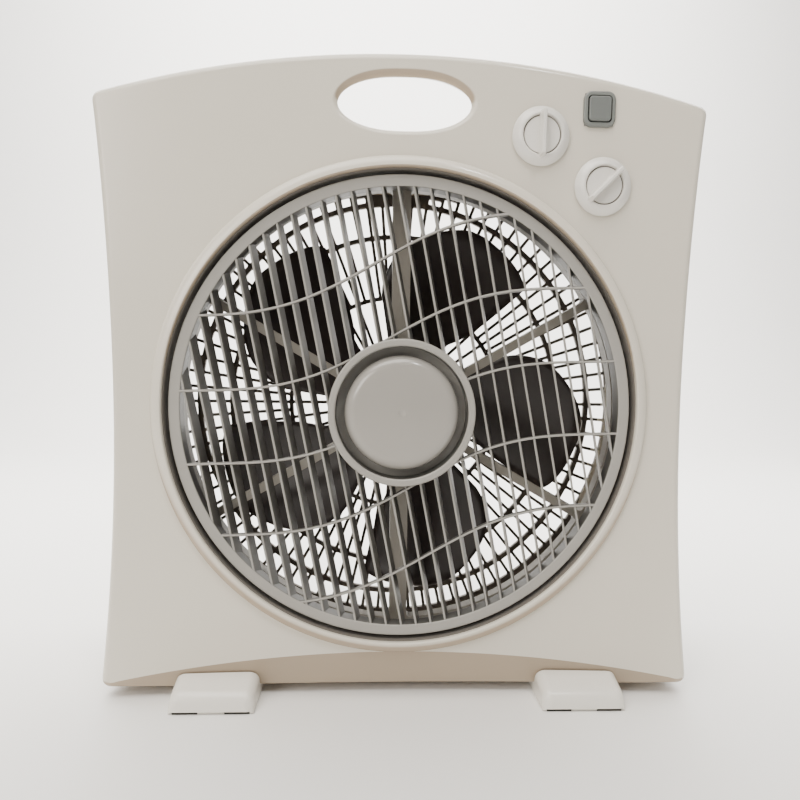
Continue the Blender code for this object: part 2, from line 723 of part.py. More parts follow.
def bar_strip(offset, start, end, count):
    """The outline of a wavy bar between two places."""
    upper = []
    lower = []
    for k in range(count + 1):
        x = start + (end - start) * k / count
        middle = offset + wave(x)
        upper.append((x, middle + BAR_WIDTH / 2))
        lower.append((x, middle - BAR_WIDTH / 2))
    return lower + upper[::-1]


def make_louver():
    rim_middle = LOUVER_RADIUS - LOUVER_RIM / 2
    hub_middle = HUB_RING_RADIUS - HUB_RING_WIDTH / 2
    inner = LOUVER_RADIUS - LOUVER_RIM
    chamfer = 0.001
    ring = [(inner, 0.0), (LOUVER_RADIUS - chamfer, 0.0), (LOUVER_RADIUS, -chamfer)]
    ring += [(LOUVER_RADIUS, -LOUVER_DEPTH), (inner, -LOUVER_DEPTH)]
    grille = add_part("louver_grille", turned("louver_grille", ring, 60, closed=True), LOUVER_AXIS, LOUVER_GREY)

    hub_inner = HUB_RING_RADIUS - HUB_RING_WIDTH
    plate_front = -LOUVER_DEPTH + 0.0035
    bore = DRIVE_SHAFT + GAP
    hub = [(hub_inner + chamfer, HUB_RISE), (HUB_RING_RADIUS - chamfer, HUB_RISE)]
    hub += [(HUB_RING_RADIUS, HUB_RISE - chamfer), (HUB_RING_RADIUS, -LOUVER_DEPTH), (bore, -LOUVER_DEPTH)]
    hub += [(bore, plate_front), (hub_inner, plate_front), (hub_inner, HUB_RISE - chamfer)]

    slant = Matrix.Identity(4)
    slant[0][2] = -math.tan(math.radians(SLAT_SLANT))
    bm = bmesh.new()
    slat_depth = LOUVER_DEPTH - 2 * REACH
    count = int((inner - 0.004) / SLAT_PITCH + 0.5)
    for k in range(-count, count):
        x = (k + 0.5) * SLAT_PITCH
        end = math.sqrt(rim_middle**2 - x**2)
        start = math.sqrt(hub_middle**2 - x**2) if abs(x) < hub_middle - 0.001 else None
        spans = [(-end, end)] if start is None else [(start, end), (-end, -start)]
        for low, high in spans:
            size = (SLAT_THICKNESS, high - low, slat_depth)
            block(bm, size, (x, (low + high) / 2, -LOUVER_DEPTH / 2), slant)
    join(grille, add_tool("slats", from_bmesh("slats", bm), LOUVER_AXIS))
    join(grille, add_tool("louver_hub", turned("louver_hub", hub, 30, closed=True), LOUVER_AXIS))

    strips = []
    for k in range(BAR_COUNT):
        offset = (k - (BAR_COUNT - 1) / 2) * BAR_SPACING
        left = rim_crossing(offset, -1, rim_middle)
        right = rim_crossing(offset, 1, rim_middle)
        if abs(offset) < 0.001:
            strips.append(bar_strip(offset, left, rim_crossing(offset, -1, hub_middle), 4))
            strips.append(bar_strip(offset, rim_crossing(offset, 1, hub_middle), right, 4))
        else:
            strips.append(bar_strip(offset, left, right, 10))
    front = -REACH / 2
    bars = plate("bars", strips, front - BAR_DEPTH, front)
    join(grille, add_tool("bars", bars, LOUVER_AXIS))

    seat = plate_front + GAP
    cap_rise = HUB_RISE + 0.001
    dome = [(0.0, cap_rise)]
    for k in range(1, 5):
        turn = math.pi / 2 * k / 4
        dome.append((CAP_RADIUS - 0.009 * (1 - math.sin(turn)), cap_rise - 0.001 - 0.007 * (1 - math.cos(turn))))
    dome += [(CAP_RADIUS, seat), (CAP_RADIUS - 0.002, seat), (CAP_RADIUS - 0.002, cap_rise - 0.010)]
    dome += [(0.0, cap_rise - 0.003)]
    add_part("louver_cap", turned("louver_cap", dome, 30), LOUVER_AXIS, CAP_GREY)


# --- Louvre drive and inner guard -----------------------------------------------------------------
def make_louver_drive():
    front = -DRIVE_FRONT
    back = front - DRIVE_DEPTH
    bore = DRIVE_SHAFT + RUNNING
    depth = 0.006
    profile = [(0.0, front), (DRIVE_RADIUS - 0.001, front), (DRIVE_RADIUS, front - 0.001)]
    profile += [(DRIVE_RADIUS, back), (0.0, back)]
    drive = add_part("louver_motor", turned("louver_motor", profile, 32), FAN_AXIS, STEEL)
    cut(drive, posts("drive_bore", FAN_AXIS, [(0.0, 0.0)], bore, front - depth - GAP, 0.0, 16))
    local = [(x, up - AXIS_HEIGHT) for x, up in DRIVE_SCREWS]
    cut(drive, posts("drive_screw_holes", FAN_AXIS, local, SCREW_SHANK + GAP, -1.0, 1.0))

    shaft_front = -LOUVER_DEPTH + 0.0035 + 0.002
    shaft = [(0.0, shaft_front), (DRIVE_SHAFT, shaft_front), (DRIVE_SHAFT, front - depth), (0.0, front - depth)]
    add_part("louver_motor_shaft", turned("louver_motor_shaft", shaft, 16), LOUVER_AXIS, STEEL)


def make_spider():
    """Inner guard: six arms from a dished hub to a ring; the upright arms carry the leads."""
    arms = (30, 90, 150, 210, 270, 330, 390)
    inner_ring = SPIDER_RING - SPIDER_RING_WIDTH
    windows = [circle(SPIDER_RING, 60)]
    for first, second in zip(arms, arms[1:]):
        widths = [SPIDER_DUCT_ARM if arm % 180 == 90 else SPIDER_ARM for arm in (first, second)]
        windows.append(sector(SPIDER_HUB, inner_ring, first, second, widths[0] / 2, widths[1] / 2, 7))
    body = plate("louver_spider", windows, -SPIDER_BACK, -SPIDER_FRONT)
    spider = add_part("louver_spider", body, FAN_AXIS, GUARD_BEIGE)
    ears = [(x, up - AXIS_HEIGHT) for x, up in SPIDER_SCREWS]
    join(spider, posts("ears", FAN_AXIS, ears, EAR_RADIUS, -SPIDER_BACK + 0.005, -SPIDER_FRONT - 0.0002, 16))
    dish = posts("dish", FAN_AXIS, [(0.0, 0.0)], SPIDER_HUB - 0.003, -SPIDER_BACK - 0.01, -SPIDER_FRONT - 0.004, 24)
    cut(spider, dish)
    bm = bmesh.new()
    length = SPIDER_RING + 0.01
    middle = -SPIDER_BACK + 0.002
    block(bm, (LEAD_CHANNEL, length, 0.012), (0.0, SPIDER_HUB - 0.008 + length / 2, middle))
    cut(spider, add_tool("lead_channel", from_bmesh("lead_channel", bm), FAN_AXIS))
    hole = SCREW_SHANK + GAP
    cut(spider, posts("ear_screw_holes", FAN_AXIS, ears, hole, -1.0, 1.0))
    drive = [(x, up - AXIS_HEIGHT) for x, up in DRIVE_SCREWS]
    cut(spider, posts("spider_drive_holes", FAN_AXIS, drive, hole, -1.0, 1.0))


# --- Fan blade ----------------------------------------------------------------------------------
def blade_edges(radius):
    """Degrees from the tip's middle to the trailing and leading edges, with rounded corners."""
    reach = BLADE_TIP - BLADE_HUB
    outer = max(radius - BLADE_HUB - 0.46 * reach, 0.0) / (0.4 * reach)
    inner = max(radius - BLADE_HUB - 0.24 * reach, 0.0) / (0.13 * reach)
    trailing = BLADE_TRAILING - 14.0 * outer**1.5
    leading = -BLADE_LEADING + 9.0 * math.exp(-inner)
    ends = []
    for angle, corner in zip((trailing, leading), TIP_ROUND):
        past = max(radius - (BLADE_TIP - corner), 0.0) / corner
        ends.append(2.0 + (angle - 2.0) * math.sqrt(1.0 - min(past, 1.0) ** 2))
    return ends


def blade_point(index, along, across):
    """A point on a blade: along runs from hub to tip, across from trailing to leading edge."""
    root = BLADE_HUB - BLADE_WALL / 2
    radius = root + (BLADE_TIP - BLADE_END - root) * along
    trailing, leading = blade_edges(radius)
    angle = math.radians(BLADE_START + 72.0 * index + trailing + (leading - trailing) * across)
    share = (radius - BLADE_HUB) / (BLADE_TIP - BLADE_HUB)
    pitch = math.radians(BLADE_PITCH[0] + (BLADE_PITCH[1] - BLADE_PITCH[0]) * share)
    rise = math.radians(trailing - leading) * radius * math.tan(pitch) * (0.5 - across) * 0.82
    limit = BLADE_DEPTH / 2 - BLADE_WALL
    rise = limit * math.tanh(rise / limit)
    return (radius * math.cos(angle), radius * math.sin(angle), rise - (BLADE_FRONT + BLADE_BACK) / 2)


def make_blade():
    front = -BLADE_FRONT
    back = -BLADE_BACK
    bore = SHAFT + GAP
    web = front - BLADE_WALL - 0.001
    hub = [(bore, front), (BLADE_HUB - 0.002, front), (BLADE_HUB, front - 0.002), (BLADE_HUB, back)]
    hub += [(BLADE_HUB - BLADE_WALL, back), (BLADE_HUB - BLADE_WALL, web), (SHAFT + 0.003, web)]
    hub += [(SHAFT + 0.003, web - 0.018), (bore, web - 0.018)]
    fan = add_part("fan_blade", turned("fan_blade", hub, 30, closed=True), FAN_AXIS, BLADE_BROWN, 50.0)
    for index in range(BLADE_COUNT):
        bm = bmesh.new()
        bmesh.ops.create_grid(bm, x_segments=7, y_segments=4, size=0.5)
        for vert in bm.verts:
            vert.co = blade_point(index, math.sin(math.pi / 2 * (vert.co.x + 0.5)), vert.co.y + 0.5)
        mesh = bpy.data.meshes.new("blade")
        bm.to_mesh(mesh)
        bm.free()
        blade = add_tool(f"blade_{index}", mesh, FAN_AXIS)
        thick = blade.modifiers.new("thickness", "SOLIDIFY")
        thick.thickness = BLADE_WALL
        thick.offset = 0.0
        join(fan, blade)

    nut_back = front + GAP
    nut_front = nut_back + NUT_HEIGHT
    shaft_front = front + 0.003
    nut = [(0.0, nut_front), (NUT_RADIUS * 0.6, nut_front), (NUT_RADIUS, nut_back + 0.002), (NUT_RADIUS, nut_back)]
    nut += [(bore, nut_back), (bore, shaft_front + GAP), (0.0, shaft_front + GAP)]
    add_part("blade_nut", turned("blade_nut", nut, 24), FAN_AXIS, BLADE_BROWN)
    shaft_back = -MOTOR_BACK + CAP_WALL + GAP
    shaft = [(0.0, shaft_front), (SHAFT, shaft_front), (SHAFT, shaft_back), (0.0, shaft_back)]
    add_part("motor_shaft", turned("motor_shaft", shaft, 20), FAN_AXIS, STEEL)


# --- Fan motor ----------------------------------------------------------------------------------
def ring_profile(inner, outer, front, back):
    return [(outer, front), (outer, back), (inner, back), (inner, front)]


def make_motor():
    front = -MOTOR_FRONT
    back = -MOTOR_BACK
    middle = (front + back) / 2
    stack_front = middle + STACK / 2
    stack_back = middle - STACK / 2
    housing = BEARING_RADIUS + GAP
    boss = housing + CAP_WALL
    inner = MOTOR_RADIUS - CAP_WALL
    passage = SHAFT + RUNNING + 0.001
    seat = front - CAP_WALL
    boss_end = seat - BEARING_LENGTH - GAP
    rim = stack_front + GAP
    cap = [(passage, front), (MOTOR_RADIUS - 0.003, front), (MOTOR_RADIUS, front - 0.003), (MOTOR_RADIUS, rim)]
    cap += [(inner, rim), (inner, seat), (boss, seat), (boss, boss_end), (housing, boss_end), (housing, seat)]
    cap += [(passage, seat)]
    add_part("motor_front_cap", turned("motor_front_cap", cap, 24, closed=True), FAN_AXIS, CAST)

    seat = back + CAP_WALL
    boss_end = seat + BEARING_LENGTH + GAP
    rim = stack_back - GAP
    cap = [(0.0, seat), (housing, seat), (housing, boss_end), (boss, boss_end), (boss, seat)]
    cap += [(inner, seat), (inner, rim), (MOTOR_RADIUS, rim), (MOTOR_RADIUS, back + 0.003)]
    cap += [(MOTOR_RADIUS - 0.003, back), (0.0, back)]
    rear = add_part("motor_rear_cap", turned("motor_rear_cap", cap, 24), FAN_AXIS, CAST)
    local = [(x, up - AXIS_HEIGHT) for x, up in MOTOR_SCREWS]
    cut(rear, posts("rear_cap_holes", FAN_AXIS, local, SCREW_SHANK + GAP, back - 0.01, seat + 0.01))

    bearing_outer = BEARING_RADIUS
    bearing_inner = SHAFT + 0.00005 + GAP
    for name, near in (("front", -MOTOR_FRONT - CAP_WALL - GAP), ("rear", back + CAP_WALL + GAP + BEARING_LENGTH)):
        profile = ring_profile(bearing_inner, bearing_outer, near, near - BEARING_LENGTH + GAP)
        bearing = turned(f"motor_bearing_{name}", profile, 20, closed=True)
        add_part(f"motor_bearing_{name}", bearing, FAN_AXIS, BRASS)

    stator = ring_profile(ROTOR_RADIUS + AIR_GAP, MOTOR_RADIUS, stack_front, stack_back)
    add_part("motor_stator", turned("motor_stator", stator, 24, closed=True), FAN_AXIS, STEEL)
    coil_inner = ROTOR_RADIUS + AIR_GAP + 0.002
    coil_outer = MOTOR_SCREW_RADIUS - SCREW_SHANK - 0.001
    for name, near, far in (
        ("front", stack_front + GAP + WINDING, stack_front + GAP),
        ("rear", stack_back - GAP, stack_back - GAP - WINDING),
    ):
        coil = turned(f"motor_winding_{name}", ring_profile(coil_inner, coil_outer, near, far), 24, closed=True)
        add_part(f"motor_winding_{name}", coil, FAN_AXIS, COPPER)
    rotor = ring_profile(SHAFT + GAP, ROTOR_RADIUS, stack_front, stack_back)
    add_part("motor_rotor", turned("motor_rotor", rotor, 24, closed=True), FAN_AXIS, STEEL)


# --- Controls -------------------------------------------------------------------------------------
def make_knob(name, parent):
    """A skirted pointer knob with a thin grip across its sunk disc."""
    lift = 0.0006
    bore = KNOB_SHAFT + GAP
    length, thickness, height = KNOB_GRIP
    disc = KNOB_SKIRT - 0.0015
    profile = [(0.0, disc), (KNOB_DISC - 0.0004, disc), (KNOB_DISC, KNOB_SKIRT - 0.0004)]
    profile += [(KNOB_DISC + 0.0012, KNOB_SKIRT), (KNOB_RADIUS - 0.003, KNOB_SKIRT - 0.0017)]
    profile += [(KNOB_RADIUS - 0.0006, KNOB_SKIRT - 0.0042), (KNOB_RADIUS, lift + 0.0005), (KNOB_RADIUS - 0.0005, lift)]
    profile += [(KNOB_RADIUS - 0.002, lift), (KNOB_RADIUS - 0.0035, disc - 0.0016), (bore + 0.002, disc - 0.0016)]
    profile += [(bore + 0.002, lift + 0.001), (bore, lift + 0.001), (bore, disc - 0.001), (0.0, disc - 0.001)]
    knob = add_part(name, turned(name, profile, 28), parent, KNOB_WHITE)
    bm = bmesh.new()
    low = disc - 0.0009
    grip = block(bm, (thickness, length, height - low), (0.0, 0.0, (height + low) / 2))
    for vert in grip:
        if vert.co.z > disc:
            vert.co.x *= 0.7
            vert.co.y *= 0.86
    join(knob, add_tool(f"{name}_grip", from_bmesh(f"{name}_grip", bm), parent))
    shaft_back = -WALL - GAP - 0.008
    shaft = [(0.0, disc - 0.001 - GAP), (KNOB_SHAFT, disc - 0.001 - GAP), (KNOB_SHAFT, shaft_back), (0.0, shaft_back)]
    shaft_name = name.replace("knob", "shaft")
    add_part(shaft_name, turned(shaft_name, shaft, 16), parent, SWITCH_WHITE)


def make_switch_body(name, place, size, screws):
    """A switch or timer box behind the panel, with a round well for its shaft."""
    width, height, depth = size
    front = -WALL - GAP
    bm = bmesh.new()
    block(bm, (width, height, depth), (place[0], place[1], front - depth / 2))
    mesh = from_bmesh(name, bm)
    box = add_part(name, mesh, FACE, SWITCH_WHITE)
    bevel = box.modifiers.new("edges", "BEVEL")
    bevel.width = 0.001
    bevel.segments = 1
    bevel.limit_method = "ANGLE"
    cut(box, posts(f"{name}_well", FACE, [place], KNOB_SHAFT + RUNNING, front - 0.0085, 0.0, 16))
    cut(box, posts(f"{name}_holes", FACE, screws, SCREW_SHANK + GAP, front - 0.010, 0.0))


def squircle(width, height, corner, count=5):
    """A rectangle with round corners, centred on its axis."""
    points = []
    for sign_x, sign_y, start in ((1, 1, 0), (-1, 1, 90), (-1, -1, 180), (1, -1, 270)):
        centre_x = sign_x * (width / 2 - corner)
        centre_y = sign_y * (height / 2 - corner)
        for k in range(count + 1):
            angle = math.radians(start + 90 * k / count)
            points.append((centre_x + corner * math.cos(angle), centre_y + corner * math.sin(angle)))
    return points


def make_button():
    """The louvre's push switch: a flanged frame in the panel and a pad that travels in it."""
    width, height = BUTTON_FRAME
    pad_width, pad_height = BUTTON_PAD
    flange = plate("louver_switch", [squircle(width, height, 0.004, 3)], GAP, 0.0016)
    frame = add_part("louver_switch", round_rim(flange, 0.0016, 0.0006, 1), BUTTON_AXIS, BUTTON_GREY)
    bm = bmesh.new()
    neck = (width - 0.002 - 2 * GAP, height - 0.002 - 2 * GAP)
    block(bm, (*neck, BUTTON_BODY_DEPTH), (0.0, 0.0, GAP + 0.0005 - BUTTON_BODY_DEPTH / 2))
    join(frame, add_tool("switch_neck", from_bmesh("switch_neck", bm), BUTTON_AXIS))
    slack = 2 * RUNNING
    floor = -BUTTON_TRAVEL - 0.004
    well = plate("switch_well", [squircle(pad_width + slack, pad_height + slack, 0.002, 3)], floor, 0.01)
    cut(frame, add_tool("switch_well", well, BUTTON_AXIS))
    pad = plate("louver_button", [squircle(pad_width, pad_height, 0.002, 3)], floor + BUTTON_TRAVEL + GAP, BUTTON_RISE)
    add_part("louver_button", round_rim(pad, BUTTON_RISE, 0.0008, 2), BUTTON_AXIS, BUTTON_GREY)


# --- Feet --------------------------------------------------------------------------------------------
def make_feet():
    """Each foot is one long moulding that hooks up in front of and behind the casing."""
    half = FOOT_WIDTH / 2
    front = FOOT_NOSE
    back = -DEPTH - FOOT_NOSE
    lift = 0.0003
    crest = 0.65 * FOOT_RISE
    inside = 0.012
    side = [(front - 0.001, lift), (front, 0.0015), (front - 0.0008, crest - 0.002), (front - 0.003, crest)]
    side += [(0.0, FOOT_RISE - 0.0015), (-inside, FOOT_RISE), (-DEPTH + inside, FOOT_RISE)]
    side += [(-DEPTH, FOOT_RISE - 0.0015), (back + 0.003, crest), (back + 0.0008, crest - 0.002)]
    side += [(back, 0.0015), (back + 0.001, lift)]
    casing = plate("casing_space", [casing_outline(-GAP)], -DEPTH - GAP, GAP)
    round_rim(casing, GAP, FRONT_EDGE_ROUND, 2)
    casing = add_tool("casing_space", casing, FACE)
    cut(casing, chin_wedge("chin_clear", GAP * 2))
    stand = Matrix(((0, 0, 1, 0), (0, 1, 0, 0), (1, 0, 0, 0), (0, 0, 0, 1)))
    for name, x in (("foot_left", -FOOT_PLACE), ("foot_right", FOOT_PLACE)):
        body = plate(name, [side], -half, half)
        bm = bmesh.new()
        bm.from_mesh(body)
        rim = [e for e in bm.edges if e.calc_face_angle(0.0) > 0.9 and max(v.co.y for v in e.verts) > 0.002]
        bmesh.ops.bevel(bm, geom=rim, offset=FOOT_ROUND, offset_type="OFFSET", segments=3, profile=0.5, affect="EDGES")
        bmesh.ops.transform(bm, verts=bm.verts, matrix=Matrix.Translation((x, 0, 0)) @ stand)
        bmesh.ops.recalc_face_normals(bm, faces=bm.faces)
        bm.to_mesh(body)
        bm.free()
        foot = add_part(name, body, FACE, KNOB_WHITE)
        cut(foot, casing)
        bm = bmesh.new()
        for step in (-1, 1):
            place = (x + step * PAD_SPACING, 0.0, -DEPTH / 2)
            block(bm, (PAD_WIDTH + 2 * GAP, 2 * (PAD_THICKNESS + GAP), DEPTH + 4 * FOOT_NOSE), place)
        cut(foot, add_tool(f"{name}_grooves", from_bmesh(f"{name}_grooves", bm), FACE))
        for label, step in (("inner", -1 if x > 0 else 1), ("outer", 1 if x > 0 else -1)):
            bm = bmesh.new()
            place = (x + step * PAD_SPACING, PAD_THICKNESS / 2, -DEPTH / 2)
            block(bm, (PAD_WIDTH, PAD_THICKNESS, DEPTH + 2 * FOOT_NOSE - 0.003), place)
            pad_name = name.replace("foot", "pad") + "_" + label
            add_part(pad_name, from_bmesh(pad_name, bm), FACE, RUBBER)
        sink_low = -0.01
        sink_high = FOOT_SEAT
        cut(foot, upright_posts(f"{name}_sinks", FOOT_SCREW_DEPTHS, SCREW_HEAD + GAP, sink_low, sink_high))
        cut(foot, upright_posts(f"{name}_holes", FOOT_SCREW_DEPTHS, SCREW_SHANK + GAP, sink_low, 0.03))


# --- Screws, gland, capacitor and leads ------------------------------------------------------------------
def screw_mesh(name, length):
    """A pan-head screw, head towards +out, seat at zero."""
    profile = [(0.0, HEAD_HEIGHT_OF_SCREW), (SCREW_HEAD * 0.7, HEAD_HEIGHT_OF_SCREW), (SCREW_HEAD, 0.0008)]
    profile += [(SCREW_HEAD, 0.0), (SCREW_SHANK, 0.0), (SCREW_SHANK, 0.0015 - length), (0.0, -length)]
    return turned(name, profile, 8)


def place_screw(name, mesh, x, up, out, facing):
    """facing is the way the head points: front, rear or down."""
    screw = add_part(name, mesh, FACE, STEEL)
    screw.location = (x, up, out)
    turns = {"front": (0.0, 0.0, 0.0), "rear": (math.pi, 0.0, 0.0), "down": (math.pi / 2, 0.0, 0.0)}
    screw.rotation_euler = turns[facing]


def make_screws():
    seat = -SHELL_SPLIT - SHELL_SCREW_SEAT
    mesh = screw_mesh("shell_screw", SHELL_SCREW_SEAT + 0.012)
    for k, (x, up) in enumerate(SHELL_SCREWS):
        place_screw(f"shell_screw_{k + 1}", mesh, x, up, seat - GAP, "rear")
    ear_back = -SPIDER_BACK + 0.005
    mesh = screw_mesh("spider_screw", 0.014)
    for k, (x, up) in enumerate(SPIDER_SCREWS):
        place_screw(f"spider_screw_{k + 1}", mesh, x, up, ear_back - GAP, "rear")
    mesh = screw_mesh("drive_screw", SPIDER_DEPTH)
    for k, (x, up) in enumerate(DRIVE_SCREWS):
        place_screw(f"louver_motor_screw_{k + 1}", mesh, x, up, -SPIDER_FRONT - 0.004 - GAP, "rear")
    mesh = screw_mesh("motor_screw", REAR_PLATE + CAP_WALL)
    for k, (x, up) in enumerate(MOTOR_SCREWS):
        place_screw(f"motor_screw_{k + 1}", mesh, x, up, -DEPTH - GAP, "rear")
    mesh = screw_mesh("switch_screw", 0.010)
    for k, (x, up) in enumerate(SPEED_SCREWS):
        place_screw(f"speed_screw_{k + 1}", mesh, x, up, GAP, "front")
    for k, (x, up) in enumerate(TIMER_SCREWS):
        place_screw(f"timer_screw_{k + 1}", mesh, x, up, GAP, "front")
    mesh = screw_mesh("foot_screw", BODY_BOTTOM + FOOT_BOSS_HEIGHT - 0.0015 - FOOT_SEAT - 2 * GAP)
    for x, side in ((-FOOT_PLACE, "left"), (FOOT_PLACE, "right")):
        for depth, end in zip(FOOT_SCREW_DEPTHS, ("front", "rear")):
            place_screw(f"foot_screw_{side}_{end}", mesh, x, FOOT_SEAT - GAP, -depth, "down")


def make_gland():
    """A bush in the rear wall for the supply lead."""
    outer = -DEPTH - GAP
    bore = GLAND_RADIUS - 0.002
    profile = [(bore, outer - 0.0025), (GLAND_RADIUS + 0.002, outer - 0.0025), (GLAND_RADIUS + 0.003, outer - 0.0015)]
    profile += [(GLAND_RADIUS + 0.003, outer), (GLAND_RADIUS, outer), (GLAND_RADIUS, -REAR_INNER + 0.006)]
    profile += [(bore, -REAR_INNER + 0.006)]
    gland = add_part("cord_gland", turned("cord_gland", profile[::-1], 20, closed=True), FACE, RUBBER)
    gland.location = (*GLAND_PLACE, 0.0)


def make_capacitor():
    width, height, depth = CAPACITOR
    x, up = CAPACITOR_PLACE
    bm = bmesh.new()
    block(bm, CAPACITOR, (x, up, -REAR_INNER + GAP + depth / 2))
    box = add_part("motor_capacitor", from_bmesh("motor_capacitor", bm), FACE, LEAD_GREY)
    bevel = box.modifiers.new("edges", "BEVEL")
    bevel.width = 0.0015
    bevel.segments = 2
    bevel.limit_method = "ANGLE"


def smooth_route(points, count):
    """Points along a Catmull-Rom curve through the route's own points."""
    path = [Vector(point) for point in points]
    path = [2 * path[0] - path[1]] + path + [2 * path[-1] - path[-2]]
    result = []
    for a, b, c, d in zip(path, path[1:], path[2:], path[3:]):
        for k in range(count):
            t = k / count
            curve = 2 * b + (c - a) * t + (2 * a - 5 * b + 4 * c - d) * t * t + (3 * b - a - 3 * c + d) * t**3
            result.append(curve / 2)
    return result + [path[-2]]


def make_lead(name, points):
    """A round lead: one loop of points at each step of its route, joined into a closed skin."""
    route = smooth_route(points, 4)
    across = Vector((1.0, 0.0, 0.0))
    bm = bmesh.new()
    loops = []
    for k, place in enumerate(route):
        ahead = (route[min(k + 1, len(route) - 1)] - route[max(k - 1, 0)]).normalized()
        across = (across - ahead * across.dot(ahead)).normalized()
        offsets = [polar(LEAD_RADIUS, 60.0 * step) for step in range(6)]
        loops.append([bm.verts.new(place + across * u + ahead.cross(across) * v) for u, v in offsets])
    for first, second in zip(loops, loops[1:]):
        for a, b, c, d in zip(first, first[1:] + first[:1], second[1:] + second[:1], second):
            bm.faces.new((a, b, c, d))
    bm.faces.new(loops[0])
    bm.faces.new(loops[-1])
    add_part(name, from_bmesh(name, bm), FACE, LEAD_GREY, 60.0)


def make_louver_lead():
    """The louvre motor's lead: up the upright arm, over the guard's ring and along to the speed switch."""
    channel = -SPIDER_BACK + 0.0035
    ring_top = AXIS_HEIGHT + SPIDER_RING
    between = (ring_top + RECESS_FLOOR - WALL) / 2
    side = SPEED.x - SPEED_BODY[0] / 2
    middle = -WALL - SPEED_BODY[2] / 2
    bend = 0.005
    route = [(0.0, AXIS_HEIGHT + SPIDER_HUB - 0.006, channel), (0.0, AXIS_HEIGHT + SPIDER_HUB + 0.012, channel)]
    route.append((0.0, ring_top - 0.012, channel))
    for step in range(4):
        turn = math.pi / 2 * step / 3
        route.append((bend * (1 - math.cos(turn)), between - bend * (1 - math.sin(turn)), channel))
    route += [(side * 0.4, between, channel), (side * 0.75, between, (channel + middle) / 2)]
    route += [(side - 0.010, between, middle), (side - 0.002, between, middle)]
    make_lead("louver_motor_lead", route)


SHELL_SCREW_SEAT = 0.012
FOOT_SEAT = 0.0045
LEAD_CHANNEL = 0.007
BLADE_END = 0.0008
WINDING = 0.006

make_front_shell()
make_rear_shell()
make_louver()
make_louver_drive()
make_spider()
make_blade()
make_motor()
make_knob("speed_knob", SPEED_AXIS)
make_knob("timer_knob", TIMER_AXIS)
make_switch_body("speed_switch", SPEED, SPEED_BODY, SPEED_SCREWS)
make_switch_body("timer_body", TIMER, TIMER_BODY, TIMER_SCREWS)
make_button()
make_feet()
make_screws()
make_gland()
make_capacitor()
make_louver_lead()
bpy.context.view_layer.update()
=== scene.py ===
"""A box fan with a turning louvre, built over its CAD model. Metres, +Z up, front towards -Y."""

import json
import math

import bmesh
import bpy
from mathutils import Matrix, Vector

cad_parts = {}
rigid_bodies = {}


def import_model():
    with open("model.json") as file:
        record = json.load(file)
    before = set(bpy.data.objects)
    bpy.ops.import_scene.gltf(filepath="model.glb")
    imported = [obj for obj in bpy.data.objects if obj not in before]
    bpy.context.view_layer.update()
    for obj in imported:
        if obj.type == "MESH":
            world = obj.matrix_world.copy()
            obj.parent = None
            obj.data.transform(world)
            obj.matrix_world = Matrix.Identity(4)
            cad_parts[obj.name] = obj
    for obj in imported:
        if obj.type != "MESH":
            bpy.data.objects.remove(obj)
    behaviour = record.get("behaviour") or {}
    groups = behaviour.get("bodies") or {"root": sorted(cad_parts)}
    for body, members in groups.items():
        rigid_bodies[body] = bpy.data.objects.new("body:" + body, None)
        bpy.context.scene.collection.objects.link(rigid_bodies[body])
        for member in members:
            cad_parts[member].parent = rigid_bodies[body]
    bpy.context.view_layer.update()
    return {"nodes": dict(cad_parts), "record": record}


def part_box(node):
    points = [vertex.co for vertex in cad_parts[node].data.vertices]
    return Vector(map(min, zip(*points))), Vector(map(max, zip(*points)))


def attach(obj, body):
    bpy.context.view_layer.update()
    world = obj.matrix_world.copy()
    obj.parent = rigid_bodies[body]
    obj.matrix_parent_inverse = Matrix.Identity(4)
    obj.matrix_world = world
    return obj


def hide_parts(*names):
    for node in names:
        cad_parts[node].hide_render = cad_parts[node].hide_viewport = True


for leftover in list(bpy.data.objects):
    bpy.data.objects.remove(leftover, do_unlink=True)
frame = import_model()


# --- Where the fan stands ------------------------------------------------------------
# The fan faces the viewer on a pale tabletop that sweeps up behind it, under broad, soft lamps.
# Its pieces are laid out on its face: x to the right, up from the table, and out towards the
# viewer, 0 on the panel.
back_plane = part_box("rear_shell")[1].y
panel_plane = -back_plane
depth = 2 * back_plane
grille_low, grille_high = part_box("louver_grille")
axis_up = (grille_low.z + grille_high.z) / 2
face = Matrix.Translation((0.0, panel_plane, 0.0)) @ Matrix.Rotation(math.pi / 2, 4, "X")
on_axis = face @ Matrix.Translation((0.0, axis_up, 0.0))


class Wire:
    """A value that changes over a surface: one socket in a finish's nodes."""

    def __init__(self, finish, socket):
        self.finish = finish
        self.socket = socket

    def sum(self, operation, first, second):
        return self.finish.node("ShaderNodeMath", {"operation": operation}, {0: first, 1: second})

    def __add__(self, other):
        return self.sum("ADD", self, other)

    def __radd__(self, other):
        return self.sum("ADD", other, self)

    def __sub__(self, other):
        return self.sum("SUBTRACT", self, other)

    def __rsub__(self, other):
        return self.sum("SUBTRACT", other, self)

    def __mul__(self, other):
        return self.sum("MULTIPLY", self, other)

    def __rmul__(self, other):
        return self.sum("MULTIPLY", other, self)


